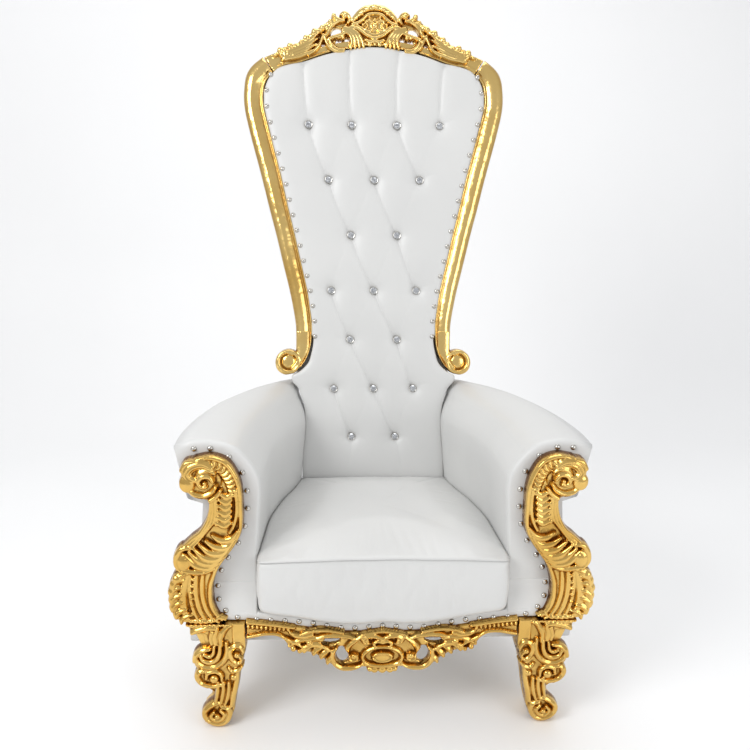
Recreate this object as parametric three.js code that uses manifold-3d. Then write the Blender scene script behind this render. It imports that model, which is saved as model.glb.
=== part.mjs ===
// A tall-backed ceremonial armchair: a gilt carved frame, white buttoned upholstery and crystal buttons.
// Millimetres, +Z up. The chair faces -Y, stands on Z = 0 and is symmetrical about X = 0.
// Pieces are laid out from FRONT, the plane Y = 0 of the carved arm facings, and the whole chair is then
// moved back so that the origin lies under its middle.

import * as THREE from "three";
import { mergeVertices } from "three/addons/utils/BufferGeometryUtils.js";
import Module from "manifold-3d";

// ---------- Driving dimensions ----------

const GAP = 0.4; // between pieces that touch
const RECLINE = THREE.MathUtils.degToRad(10.8); // how far the back leans
const BACK_FOOT = { y: 534, z: 450 }; // a point on the front plane of the back, where its own height is 0
const FRAME_DEPTH = 45; // stiles and crest rail, front to back
const BOARD_DEPTH = 28; // upholstered board that closes the back

const SEAT_BASE = 270; // top of the seat platform, on which the arms stand
const PLATFORM_BASE = 225; // underside of the platform
const SEAT_TOP = 450; // cushion height at its edge
const SEAT_CROWN = 26; // rise of the cushion over its edge
const BAND_HEIGHT = 27; // nailed band between cushion and apron

const CARVED_DEPTH = 26; // carved apron and leg fronts, before the platform
const ARM_TOP = 742; // highest point of the rolled arm
const ARM_FRONT = 31; // front face of the padded arm
const FACING_DEPTH = 30; // carved arm facing, front to back
const BUTTON_RADIUS = 12;
const DIMPLE = 16; // how deep the buttons pull the pad in

const GILT = { color: 0xc79a3e, roughness: 0.28, metalness: 0.9 };
const LEATHER = { color: 0xe4e5e3, roughness: 0.45, metalness: 0.0 };
const CRYSTAL = { color: 0xdfe4e6, roughness: 0.05, metalness: 0.1 };

// Back outline, in the back's own plane: x, height along the slope, half width of the gilt band.
const STILE_LINE = [
  [280, 1181, 23],
  [297, 1173, 25.6],
  [328, 1142, 29],
  [338, 1104, 28],
  [338, 1058, 27.5],
  [323, 990, 28],
  [293, 874, 28],
  [272, 783, 27],
  [253, 706, 26.5],
  [235, 626, 26],
  [216, 543, 25.5],
  [203, 460, 24],
  [202, 415, 23],
  [206, 374, 20],
  [218, 340, 14],
  [238, 318, 10],
];
const SCROLL = { x: 247, z: 341, radius: 38, eye: 24 }; // round end of each stile
const CREST_LINE = [
  [312, 1160, 27],
  [262, 1186, 21],
  [226, 1189, 17],
  [178, 1200, 12],
  [134, 1214, 11],
  [91, 1223, 11],
  [45, 1229, 11],
  [0, 1231, 11],
];
// Half width of the back pad at each height, from the seat up; above the scrolls it follows the stiles.
const PAD_EDGE = [
  [-172, 211],
  [-60, 211],
  [60, 208],
  [121, 202],
  [177, 200],
  [213, 204],
  [240, 212],
  [263, 219],
  [283, 236],
  [301, 238],
  [313, 216],
  [335, 193],
  [360, 183],
  [406, 175],
  [476, 178],
  [547, 189],
  [625, 205],
  [704, 222],
  [782, 240],
  [859, 258],
  [935, 276],
  [1010, 294],
  [1062, 308],
  [1096, 309],
  [1124, 301],
  [1147, 281],
  [1159, 257],
  [1174, 192],
  [1192, 134],
  [1206, 66],
];

// Crystal buttons in diamond rows: height along the slope, half positions across.
const BUTTON_ROWS = [
  { z: 1010, x: [64, 186] },
  { z: 859, x: [0, 130] },
  { z: 704, x: [66] },
  { z: 547, x: [0, 123] },
  { z: 406, x: [68] },
  { z: 263, x: [0, 116] },
  { z: 121, x: [64] },
];

// Stations of an arm from front to back: foot of its inner and outer face [x, y], its height as a share of
// the full height, and how much of the back's lean it has taken up.
const ARM_STATIONS = [
  { inner: [300, ARM_FRONT], outer: [490, ARM_FRONT], tall: 1, lean: 0 },
  { inner: [294, 130], outer: [487, 140], tall: 1, lean: 0 },
  { inner: [286, 240], outer: [463, 275], tall: 1, lean: 0 },
  { inner: [262, 350], outer: [422, 412], tall: 0.99, lean: 0.2 },
  { inner: [232, 440], outer: [366, 512], tall: 0.975, lean: 0.5 },
  { inner: [213, 515], outer: [306, 574], tall: 0.96, lean: 0.85 },
  { inner: [213, 582], outer: [252, 608], tall: 0.953, lean: 1 },
];
// Section of an arm: share of its thickness from the inner face, swell inward, share of its height.
const ARM_SECTION = [
  [0, 0, 0],
  [0, 0, 0.33],
  [0, 6, 0.55],
  [0, 13, 0.74],
  [0.02, 10, 0.83],
  [0.12, 0, 0.92],
  [0.3, 0, 0.975],
  [0.56, 0, 1],
  [0.8, 0, 0.997],
  [0.93, 0, 0.98],
  [0.985, 0, 0.93],
  [1, 0, 0.87],
  [0.985, 0, 0.8],
  [0.92, 0, 0.742],
  [0.76, 0, 0.7],
  [0.6, 0, 0.68],
  [0.56, 0, 0.62],
  [0.61, 0, 0.54],
  [0.72, 0, 0.46],
  [0.83, 0, 0.36],
  [0.88, 0, 0.24],
  [0.88, 0, 0],
];

// Top edge of the carved apron: x, z. The nailed band follows it.
const APRON_EDGE = [
  [0, 259],
  [50, 254],
  [100, 255],
  [150, 261],
  [220, 274],
  [329, 288],
];

// ---------- Solids ----------

const wasm = await Module();
wasm.setup();

/** A closed geometry as a solid, turned right side out. */
function solidOf(geometry) {
  const bare = geometry.clone();
  bare.deleteAttribute("normal");
  bare.deleteAttribute("uv");
  const merged = mergeVertices(bare, 1e-3);
  const triVerts = new Uint32Array(merged.index.array);
  const vertProperties = merged.attributes.position.array;
  const solid = new wasm.Manifold(new wasm.Mesh({ numProp: 3, vertProperties, triVerts }));
  if (solid.volume() > 0) return solid;
  triVerts.reverse();
  return new wasm.Manifold(new wasm.Mesh({ numProp: 3, vertProperties, triVerts }));
}

/** A solid as a three.js geometry. */
function geometryOf(solid) {
  const { vertProperties, triVerts } = solid.getMesh();
  const geometry = new THREE.BufferGeometry();
  geometry.setAttribute("position", new THREE.BufferAttribute(vertProperties, 3));
  geometry.setIndex(new THREE.BufferAttribute(triVerts, 1));
  geometry.computeVertexNormals();
  return geometry;
}

/** One solid joined from several closed geometries, then cut by others. */
function carve(geometries, ...tools) {
  const whole = geometries.map(solidOf).reduce((sum, next) => sum.add(next));
  return tools.map(solidOf).reduce((rest, tool) => rest.subtract(tool), whole);
}

/** A geometry mirrored to the other side of the chair. */
function mirrored(geometry) {
  return geometry.clone().scale(-1, 1, 1);
}

/** Both hands of some right-hand geometries. */
function bothHands(geometries) {
  return [...geometries, ...geometries.map(mirrored)];
}

/** A closed skin through rings of equal length, its ends closed as the outline flat or as a fan. */
function loft(rings, flat = null) {
  const n = rings[0].length;
  const fan = Array.from({ length: n - 2 }, (_, i) => [0, i + 1, i + 2]);
  const ends = flat ? capOf(flat) : fan;
  const index = [];
  for (let r = 0; r + 1 < rings.length; r++) {
    for (let i = 0; i < n; i++) {
      const a = r * n + i;
      const b = r * n + ((i + 1) % n);
      index.push(a, b, b + n, a, b + n, a + n);
    }
  }
  const last = (rings.length - 1) * n;
  for (const [a, b, c] of ends) index.push(a, c, b, last + a, last + b, last + c);
  const geometry = new THREE.BufferGeometry();
  geometry.setAttribute("position", new THREE.Float32BufferAttribute(rings.flat(2), 3));
  geometry.setIndex(index);
  return geometry;
}

/** Triangles that fill a flat outline, wound the way the outline runs. */
function capOf(outline) {
  const faces = THREE.ShapeUtils.triangulateShape([...outline], []);
  return THREE.ShapeUtils.isClockWise(outline) ? faces.map(([a, b, c]) => [a, c, b]) : faces;
}

/** A value at share u of the way along a list of evenly spaced values. */
function along(values, u) {
  const at = u * (values.length - 1);
  const i = Math.min(Math.floor(at), values.length - 2);
  return THREE.MathUtils.lerp(values[i], values[i + 1], at - i);
}

// ---------- Carving ----------

// Sections of carved bands: place across, from -1 to 1, and share of the depth behind the front.
const MOULDING = [
  [-1, 1],
  [1, 1],
  [1, 0.2],
  [0.82, 0],
  [0.58, 0.17],
  [-0.55, 0.17],
  [-0.82, 0],
  [-1, 0.22],
];
const RIDGE = [
  [-1, 1],
  [1, 1],
  [0, 0],
];

/**
 * A carved band in the XZ plane along [x, z, half width] points, with its front at y and its own depth.
 * rise lifts every other step into a rib, and lead carries the middles of the ribs forward along the band.
 */
function carved(line, { y = 0, depth, section = RIDGE, steps = 6, lead = 0, rise = 0 }) {
  const points = line.map(([x, z]) => new THREE.Vector3(x, 0, z));
  const curve = new THREE.CatmullRomCurve3(points, false, "centripetal");
  const widths = line.map((point) => point[2]);
  const share = curveShares(curve, line);
  const rings = [];
  for (let i = 0; i <= steps; i++) {
    rings.push(
      section.map(([across, down]) => {
        const t = THREE.MathUtils.clamp(i / steps + lead * (1 - across * across), 0, 1);
        const at = curve.getPointAt(t);
        const tangent = curve.getTangentAt(t);
        const half = along(widths, share(t));
        const crest = down < 1 ? rise * (i % 2) : 0;
        const x = at.x - tangent.z * half * across;
        const z = at.z + tangent.x * half * across;
        return [x, y + depth * down - crest, z];
      }),
    );
  }
  return loft(rings);
}

/** How far through its list of points a curve is, at a share of its length. */
function curveShares(curve, line) {
  const total = curve.getLength();
  const stops = [0];
  for (let i = 1; i < line.length; i++) {
    const step = Math.hypot(line[i][0] - line[i - 1][0], line[i][1] - line[i - 1][1]);
    stops.push(stops[i - 1] + step);
  }
  const scale = total / stops[stops.length - 1];
  return (t) => {
    const at = (t * total) / scale;
    let i = 1;
    while (i < stops.length - 1 && stops[i] < at) i++;
    const part = (at - stops[i - 1]) / (stops[i] - stops[i - 1]);
    return Math.min(1, (i - 1 + part) / (stops.length - 1));
  };
}

/** A round boss in the XZ plane: a blunt cone whose point stands at y and whose base lies at y + depth. */
function stud(x, z, radius, { y = 0, depth = 20, sides = 5 } = {}) {
  const cone = new THREE.ConeGeometry(radius, depth, sides);
  return cone.rotateX(Math.PI).translate(x, y + depth / 2, z);
}

/** Several bosses of one depth from [x, z, radius] places. */
function studs(places, options) {
  return places.map(([x, z, radius]) => stud(x, z, radius, options));
}

/** A low dome, half sunk in a panel, that reaches forward from y. */
function cabochon(x, z, { y, wide, tall, forward }) {
  return new THREE.SphereGeometry(1, 8, 4).scale(wide, forward, tall).translate(x, y, z);
}

/** A flat board cut to an outline in the XZ plane, from y back through depth, with an eased front edge. */
function board(outline, { y = 0, depth, ease = 0 }) {
  const shape = new THREE.Shape(outline.map(([x, z]) => new THREE.Vector2(x, -z)));
  const eased = { bevelEnabled: ease > 0, bevelSize: ease, bevelOffset: -ease, bevelThickness: ease };
  const made = new THREE.ExtrudeGeometry(shape, { ...eased, bevelSegments: 1, depth: depth - ease });
  return made.rotateX(-Math.PI / 2).translate(0, y, 0);
}

/** A height read off a list of [position, height] points, by straight lines. */
function readOff(points, at) {
  let i = 1;
  while (i < points.length - 1 && points[i][0] < at) i++;
  const [[x0, y0], [x1, y1]] = [points[i - 1], points[i]];
  return THREE.MathUtils.lerp(y0, y1, THREE.MathUtils.clamp((at - x0) / (x1 - x0), 0, 1));
}

/** Points of a closed outline symmetrical about X = 0, from its right half listed bottom to top. */
function twoSided(half) {
  const left = half.filter(([x]) => x > 0).map(([x, z]) => [-x, z]);
  return [...half, ...left.reverse()];
}

// ---------- Back ----------

/** Leans something laid out in the back's own plane and stands it on the seat. */
function leaned(geometry) {
  return geometry.rotateX(-RECLINE).translate(0, BACK_FOOT.y, BACK_FOOT.z);
}

/** Every button position in the back's own plane, row by row and left to right. */
function buttonPlaces() {
  return BUTTON_ROWS.flatMap(({ x: halves, z }) => {
    const across = halves.flatMap((x) => (x ? [-x, x] : [0])).sort((a, b) => a - b);
    return across.map((x) => new THREE.Vector2(x, z));
  });
}

/** Folds between neighbouring buttons, up to the crest and out to the sides, as pairs of points. */
function folds(places) {
  const lines = [];
  for (const a of places) {
    for (const b of places) {
      const [across, up] = [Math.abs(a.x - b.x), b.y - a.y];
      if (up > 60 && up < 180 && across < 85) lines.push([a, b]);
    }
    if (a.y > 1000) lines.push([a, new THREE.Vector2(a.x * 1.08, 1230)]);
  }
  return lines;
}

/** Distance from a point to a straight line between two others. */
function distanceTo([a, b], p) {
  const way = b.clone().sub(a);
  const t = THREE.MathUtils.clamp(p.clone().sub(a).dot(way) / way.lengthSq(), 0, 1);
  return a.clone().addScaledVector(way, t).distanceTo(p);
}

/** The buttoned pad: a pillow drawn in at the buttons and along the folds between them. */
function backPad() {
  const places = buttonPlaces();
  const lines = folds(places);
  const columns = [-186, -155, -123, -66, -33, 0, 33, 66, 123, 155, 186];
  const front = (x, z, half) => {
    const p = new THREE.Vector2(x, z);
    const fold = Math.max(...lines.map((line) => 9 * Math.exp(-((distanceTo(line, p) / 16) ** 2))));
    const button = Math.max(...places.map((place) => DIMPLE * Math.exp(-((place.distanceTo(p) / 20) ** 2))));
    const edge = 18 * Math.exp(-(half - Math.abs(x)) / 24);
    return -7 + Math.min(23, Math.max(fold, button + 7) + edge - 2);
  };
  const rings = PAD_EDGE.map(([z, wide]) => {
    const half = wide - 1.5;
    const squeeze = Math.min(1, (half - 9) / 186);
    const near = (x) => places.find((place) => Math.abs(place.y - z) < 4 && Math.abs(place.x - x) < 16);
    const across = [-half, ...columns.map((x) => (near(x) ? near(x).x : x * squeeze)), half];
    const face = across.map((x) => [x, front(x, z, half), z]);
    return [...face, [half, FRAME_DEPTH - 1, z], [-half, FRAME_DEPTH - 1, z]];
  });
  return leaned(geometryOf(solidOf(loft(rings))));
}

/** The board behind the pad and the gilt frame, a little inside their outer edge. */
function backPanel() {
  const foot = PAD_EDGE.filter(([z]) => z < 300).map(([z, half]) => [half - 6, Math.max(z, -167)]);
  const stile = [...STILE_LINE].reverse().slice(3).map(([x, z, half]) => [x + half * 0.55, z]);
  const top = CREST_LINE.slice(1).map(([x, z, half]) => [x, z + half * 0.5]);
  const panel = board(twoSided([...foot, ...stile, ...top]), { y: FRAME_DEPTH + GAP, depth: BOARD_DEPTH });
  return leaned(geometryOf(solidOf(panel)));
}

/** One gilt stile: a long moulded band that ends in a scroll. */
function backStile() {
  const band = carved(STILE_LINE, { depth: FRAME_DEPTH, section: MOULDING, steps: 16 });
  return leaned(geometryOf(carve([band, scrollEnd()], beyondJoint(-1))));
}

/** The round scroll at the foot of a stile: a raised rim around a sunk, domed eye. */
function scrollEnd() {
  const { x, z, radius, eye } = SCROLL;
  const profile = [
    [0, FRAME_DEPTH],
    [radius - 3, FRAME_DEPTH],
    [radius, 12],
    [radius - 5, -2],
    [eye + 3, 0],
    [eye, 9],
    [0, 2],
  ];
  const turned = new THREE.LatheGeometry(profile.map(([r, y]) => new THREE.Vector2(r, y)), 11);
  return turned.translate(x, 0, z);
}

/** One faceted crystal button in its metal cup, set in the dimple at a place. */
function button(place) {
  const profile = [
    [0, 6],
    [BUTTON_RADIUS - 3, 6],
    [BUTTON_RADIUS, 1],
    [BUTTON_RADIUS * 0.6, -3.5],
    [0, -4.5],
  ];
  const turned = new THREE.LatheGeometry(profile.map(([r, y]) => new THREE.Vector2(r, y)), 6);
  return leaned(geometryOf(solidOf(turned.translate(place.x, 0, place.y))));
}

/** The carved crest rail: a moulded band under pierced scrollwork and a cartouche. */
function crestRail() {
  const wing = [
    carved(
      [[88, 1290, 6], [74, 1276, 7], [52, 1264, 8], [34, 1246, 8], [24, 1222, 7]],
      { y: -8, depth: 40, steps: 4 },
    ),
    carved(
      [[126, 1216, 6], [98, 1212, 7], [66, 1218, 8], [52, 1238, 7], [58, 1256, 6], [75, 1260, 5], [84, 1247, 5]],
      { y: -4, depth: 36, steps: 5 },
    ),
    carved(
      [[84, 1290, 7], [104, 1286, 8], [124, 1274, 9], [168, 1252, 8], [214, 1228, 7], [264, 1214, 5]],
      { depth: 32, steps: 9, rise: 5 },
    ),
    carved(
      [[268, 1190, 8], [232, 1198, 12], [196, 1206, 12], [166, 1218, 11], [142, 1236, 8]],
      { y: 2, depth: 30, steps: 5, lead: 0.08, rise: 5 },
    ),
    carved(
      [[285, 1182, 18], [258, 1186, 20], [230, 1194, 15], [204, 1206, 7]],
      { y: -4, depth: 36, steps: 5, lead: 0.1, rise: 6 },
    ),
    ...studs(
      [[80, 1296, 12], [109, 1298, 9], [158, 1258, 8], [186, 1250, 8], [230, 1228, 9], [263, 1217, 7]],
      { y: -8, depth: 38 },
    ),
    stud(13, 1320, 11, { y: -8, depth: 34, sides: 6 }),
    stud(40, 1314, 13, { y: -4, depth: 32, sides: 6 }),
  ];
  const shield = twoSided([[38, 1222], [44, 1240], [56, 1262], [66, 1288], [52, 1310], [33, 1325]]);
  const cartouche = [
    board(shield, { y: 4, depth: 32, ease: 3 }),
    cabochon(0, 1275, { y: 4, wide: 38, tall: 25, forward: 12 }),
    carved(
      [[-52, 1296, 5], [-34, 1312, 6], [0, 1320, 7], [34, 1312, 6], [52, 1296, 5]],
      { y: -6, depth: 30, steps: 4 },
    ),
    stud(0, 1275, 9, { y: -14, depth: 20 }),
  ];
  const rest = CREST_LINE.slice(0, -1).reverse();
  const line = [...CREST_LINE, ...rest.map(([x, z, half]) => [-x, z, half])];
  const band = carved(line, { depth: FRAME_DEPTH, section: MOULDING, steps: 14 });
  const waste = beyondJoint(1);
  return leaned(geometryOf(carve([band, ...bothHands(wing), ...cartouche], waste, mirrored(waste))));
}

/** What lies beyond the joint of crest rail and right stile, on the stile's side (1) or the crest's (-1). */
function beyondJoint(side) {
  const [x, z] = STILE_LINE[1];
  const [[nextX, nextZ], [lastX, lastZ]] = [STILE_LINE[2], CREST_LINE[1]];
  const slope = Math.atan2(nextZ - lastZ, nextX - lastX);
  const block = new THREE.BoxGeometry(120, 400, 160).translate(side * (60 - GAP / 2), 0, 0);
  return block.rotateY(-slope).translate(x, 0, z);
}

// ---------- Arms ----------

/** One upholstered arm: rolled, hollow-sided and curving round to the back. */
function arm() {
  const ring = ({ inner, outer, tall, lean }, inset = 0, forward = 0) =>
    ARM_SECTION.map(([across, swell, up]) => {
      const share = inset ? THREE.MathUtils.lerp(across, 0.45, inset * 0.06) : across;
      const height = inset ? THREE.MathUtils.lerp(up, 0.5, up > 0 ? inset * 0.035 : 0) : up;
      const z = SEAT_BASE + GAP + height * tall * (ARM_TOP - SEAT_BASE);
      const x = THREE.MathUtils.lerp(inner[0], outer[0], share) - swell;
      const y = THREE.MathUtils.lerp(inner[1], outer[1], share) + lean * Math.tan(RECLINE) * (z - BACK_FOOT.z);
      return [x, y - forward, z];
    });
  const [first, ...others] = ARM_STATIONS;
  const rings = [ring(first, 1), ring(first, 0, -10), ...others.map((station) => ring(station))];
  const flat = rings[1].map(([x, , z]) => new THREE.Vector2(x, z));
  return geometryOf(solidOf(loft(rings, flat)));
}

/** One carved facing: a scroll head, a ribbed stem, a shell and a leafy drop down to the leg. */
function armFacing() {
  const outline = [
    [380, 296], [398, 312], [412, 350], [416, 385], [406, 420], [396, 448], [372, 487], [353, 522], [339, 562],
    [333, 600], [334, 640], [345, 672], [370, 698], [406, 713], [441, 700], [462, 668], [455, 628], [425, 604],
    [404, 604], [405, 570], [420, 536], [446, 508], [470, 482], [486, 456], [484, 425], [494, 400], [504, 360],
    [500, 315], [478, 292],
  ];
  const rim = carved(
    [[378, 301, 5], [398, 322, 6], [410, 352, 6], [411, 386, 6], [402, 420, 6], [392, 448, 6], [370, 487, 6],
      [350, 524, 6], [337, 563, 6], [332, 602, 6], [335, 642, 7], [347, 676, 7], [372, 702, 7], [406, 714, 7]],
    { y: 2, depth: 24, steps: 9 },
  );
  const head = [
    carved(
      [[357, 560, 8], [348, 600, 9], [352, 640, 9], [366, 670, 10], [388, 690, 10], [414, 696, 9]],
      { y: 4, depth: 20, steps: 9, rise: 5 },
    ),
    carved(
      [[388, 640, 8], [396, 672, 10], [420, 690, 11], [446, 684, 11], [459, 658, 10], [425, 636, 6]],
      { y: -8, depth: 34 },
    ),
    stud(441, 655, 12, { y: -12, depth: 34 }),
    ...studs([[456, 690, 9], [462, 642, 9]], { y: -4, depth: 26 }),
  ];
  const stem = [
    carved([[384, 622, 8], [378, 592, 11], [384, 560, 11], [398, 532, 8]], { depth: 22, rise: 6 }),
    carved([[405, 606, 5], [404, 574, 5], [438, 518, 6], [462, 494, 6]], { y: -2, depth: 28, steps: 4 }),
  ];
  const shell = [
    carved(
      [[368, 536, 14], [384, 514, 24], [404, 490, 32], [426, 468, 34], [450, 452, 28], [472, 442, 14]],
      { y: -6, depth: 30, steps: 8, lead: 0.1, rise: 7 },
    ),
    stud(483, 440, 13, { y: -10, depth: 34 }),
  ];
  const hollows = [
    carved(
      [[440, 428, 6], [434, 392, 8], [434, 350, 8], [420, 318, 7], [396, 302, 6], [378, 306, 5]],
      { y: -2, depth: 28, steps: 5 },
    ),
    carved([[462, 424, 6], [459, 370, 8], [444, 312, 7], [420, 296, 5]], { y: -4, depth: 30, steps: 4 }),
  ];
  const leaves = [
    ...studs([[484, 414, 12], [499, 378, 13], [498, 338, 13], [482, 302, 11]], { y: -4, depth: 32 }),
    ...studs([[494, 397, 13], [499, 358, 13], [493, 318, 12]], { y: -8, depth: 32 }),
  ];
  const panel = board(outline, { y: 8, depth: FACING_DEPTH - 8 });
  const below = new THREE.BoxGeometry(400, 200, 100).translate(440, 0, SEAT_BASE + 20 - 50);
  return geometryOf(carve([panel, rim, ...head, ...stem, ...shell, ...hollows, ...leaves], below));
}

// ---------- Base ----------

/** Half plan of the seat platform, under the feet of the arms. */
function platformHalf() {
  const side = ARM_STATIONS.map(({ inner, outer, lean }) => {
    const share = ARM_SECTION[ARM_SECTION.length - 1][0];
    const x = THREE.MathUtils.lerp(inner[0], outer[0], share);
    const y = THREE.MathUtils.lerp(inner[1], outer[1], share);
    return [x, y + lean * Math.tan(RECLINE) * (SEAT_BASE - BACK_FOOT.z)];
  });
  return [[side[0][0], CARVED_DEPTH + GAP], ...side.slice(1)];
}

/** The seat platform with the nailed band across its front. */
function seatFrame() {
  const plan = twoSided(platformHalf());
  const shape = new THREE.Shape(plan.map(([x, y]) => new THREE.Vector2(x, y)));
  const slab = new THREE.ExtrudeGeometry(shape, { depth: SEAT_BASE - PLATFORM_BASE, bevelEnabled: false });
  const lower = APRON_EDGE.map(([x, z]) => [x, z + GAP]);
  const upper = [...APRON_EDGE].reverse().map(([x, z]) => [x, z + BAND_HEIGHT]);
  const end = [[330, 291], [372, 294], [372, 314]];
  const band = board(twoSided([...lower, ...end, ...upper]), { y: ARM_FRONT - 13, depth: 13 - GAP });
  return geometryOf(carve([slab.translate(0, 0, PLATFORM_BASE), band]));
}

/** The seat cushion: straight front edge, crowned top, sides drawn in towards the back. */
function seatCushion() {
  const side = ARM_STATIONS.slice(0, 6).map(({ inner }) => [inner[0] - 3, inner[1]]);
  const half = [[100, -8], [200, -8], [284, -6], [296, 4], ...side, [198, 521], [100, 521]];
  const plan = [[0, -8], ...half, [0, 521], ...[...half].reverse().map(([x, y]) => [-x, y])];
  const under = (x) => readOff(APRON_EDGE, Math.abs(x)) + BAND_HEIGHT + 2 * GAP;
  const ring = (shrink, height) =>
    plan.map(([x, y]) => {
      const px = x * (1 - shrink);
      const low = under(px);
      const z = typeof height === "function" ? height(low) : height;
      const lean = y > 400 ? Math.tan(RECLINE) * Math.min(0, z - SEAT_TOP) : 0;
      return [px, THREE.MathUtils.lerp(y, 250, shrink) + lean, z];
    });
  const skin = loft([
    ring(0.02, (low) => low),
    ring(0, (low) => low + 14),
    ring(-0.004, 380),
    ring(0, SEAT_TOP - 6),
    ring(0.012, SEAT_TOP),
    ring(0.14, SEAT_TOP + SEAT_CROWN * 0.5),
    ring(0.5, SEAT_TOP + SEAT_CROWN),
  ]);
  return geometryOf(solidOf(skin));
}

/** Apron carving that repeats on both sides of the cartouche. */
function apronScrolls() {
  return [
    carved(
      [[22, 247, 5], [44, 238, 6], [66, 237, 7], [84, 220, 7], [88, 200, 7], [78, 184, 6], [62, 192, 5]],
      { y: -8, depth: 30 },
    ),
    carved(
      [[30, 171, 5], [56, 168, 7], [82, 162, 8], [108, 172, 8], [122, 190, 8], [118, 210, 7], [104, 219, 6]],
      { y: -4, depth: 28, steps: 5 },
    ),
    carved([[110, 168, 6], [136, 186, 7], [160, 202, 8], [204, 202, 6]], { y: -6, depth: 30, steps: 4 }),
    carved([[136, 224, 6], [158, 214, 7], [208, 230, 8], [222, 216, 6]], { y: -3, depth: 28, steps: 4 }),
    carved([[220, 254, 8], [244, 260, 10], [270, 264, 10], [324, 268, 9]], { depth: 24, steps: 7, rise: 5 }),
    carved([[228, 232, 4], [254, 247, 5], [324, 246, 5]], { y: -2, depth: 26, steps: 3 }),
    carved([[8, 170, 5], [18, 162, 6], [29, 156, 5]], { y: -6, depth: 28, steps: 3 }),
    stud(72, 189, 9, { y: -12, depth: 32 }),
    stud(204, 206, 8, { y: -6, depth: 26 }),
  ];
}

/** The cartouche in the middle of the apron. */
function apronCartouche() {
  return [
    cabochon(0, 197, { y: 6, wide: 34, tall: 17, forward: 14 }),
    carved([[-46, 212, 5], [-24, 219, 7], [24, 219, 7], [46, 212, 5]], { y: -8, depth: 30, steps: 4 }),
    carved([[-42, 183, 5], [-22, 176, 6], [22, 176, 6], [42, 183, 5]], { y: -6, depth: 30, steps: 4 }),
    carved([[0, 174, 6], [0, 162, 7], [0, 152, 5]], { y: -8, depth: 30, steps: 2 }),
    carved([[0, 225, 8], [0, 240, 9], [0, 252, 6]], { y: -6, depth: 28, steps: 2 }),
  ];
}

/** The carved and pierced apron across the front. */
function frontApron() {
  const end = 329 - GAP;
  const lower = [
    [0, 150], [28, 151], [40, 163], [52, 166], [66, 158], [80, 154], [94, 156], [112, 165], [136, 180], [158, 195],
    [174, 203], [190, 203], [203, 197], [216, 203], [226, 216], [238, 236], [262, 245], [290, 246], [312, 242],
    [end, 240],
  ];
  const top = [...APRON_EDGE].reverse().map(([x, z]) => [Math.min(x, end), z]);
  const plate = board(twoSided([...lower, ...top]), { y: 8, depth: CARVED_DEPTH - 8 });
  const hole = new THREE.CylinderGeometry(1, 1, 80, 7);
  const holes = bothHands([
    hole.clone().scale(11, 1, 16).translate(97, 0, 192),
    hole.clone().scale(15, 1, 7).translate(120, 0, 232),
  ]);
  const edge = APRON_EDGE.map(([x, z]) => [x, z - 8, 5]);
  const left = edge.slice(1).reverse();
  const bead = carved([...left.map(([x, z, half]) => [-x, z, half]), ...edge], { y: 1, depth: 23, steps: 10 });
  const carving = [...bothHands(apronScrolls()), ...apronCartouche(), bead];
  const ends = bothHands([new THREE.BoxGeometry(60, 200, 300).translate(end + 30, 0, 200)]);
  const behind = new THREE.BoxGeometry(800, 100, 400).translate(0, CARVED_DEPTH + 50, 200);
  const whole = carving.map(solidOf).reduce((sum, next) => sum.add(next), carve([plate], ...holes));
  return geometryOf([...ends, behind].map(solidOf).reduce((rest, tool) => rest.subtract(tool), whole));
}

/** One side apron: a plain gilt rail that follows the plan of the platform between the legs. */
function sideApron() {
  const points = platformHalf().slice(1, 6).map(([x, y]) => new THREE.Vector3(x - 12, y, 0));
  const curve = new THREE.CatmullRomCurve3(points, false, "centripetal");
  const rings = [];
  for (let i = 0; i <= 10; i++) {
    const share = 0.02 + 0.088 * i;
    const at = curve.getPointAt(share);
    const tangent = curve.getTangentAt(share);
    const drop = 48 + 16 * Math.cos((i / 10) * Math.PI * 2) ** 2;
    const section = [
      [-10, 0], [-10, drop - 4], [-6, drop], [6, drop], [10, drop - 6], [6, drop - 16], [6, 10], [10, 0],
    ];
    rings.push(
      section.map(([out, down]) => [at.x + tangent.y * out, at.y - tangent.x * out, PLATFORM_BASE - GAP - down]),
    );
  }
  return geometryOf(solidOf(loft(rings)));
}

/** A leg from stations of half widths and middles: { z, x: [inner, outer], y: [front, back] }. */
function turnedLeg(stations, sides = 8) {
  const corners = Array.from({ length: sides }, (_, i) => {
    const angle = ((i + 0.5) / sides) * 2 * Math.PI;
    return [Math.cos(angle), Math.sin(angle)].map((v) => Math.sign(v) * Math.abs(v) ** 0.7);
  });
  const between = ([low, high], share) => (low + high) / 2 + (share * (high - low)) / 2;
  return loft(stations.map(({ z, x, y }) => corners.map(([c, s]) => [between(x, c), between(y, s), z])));
}

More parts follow.
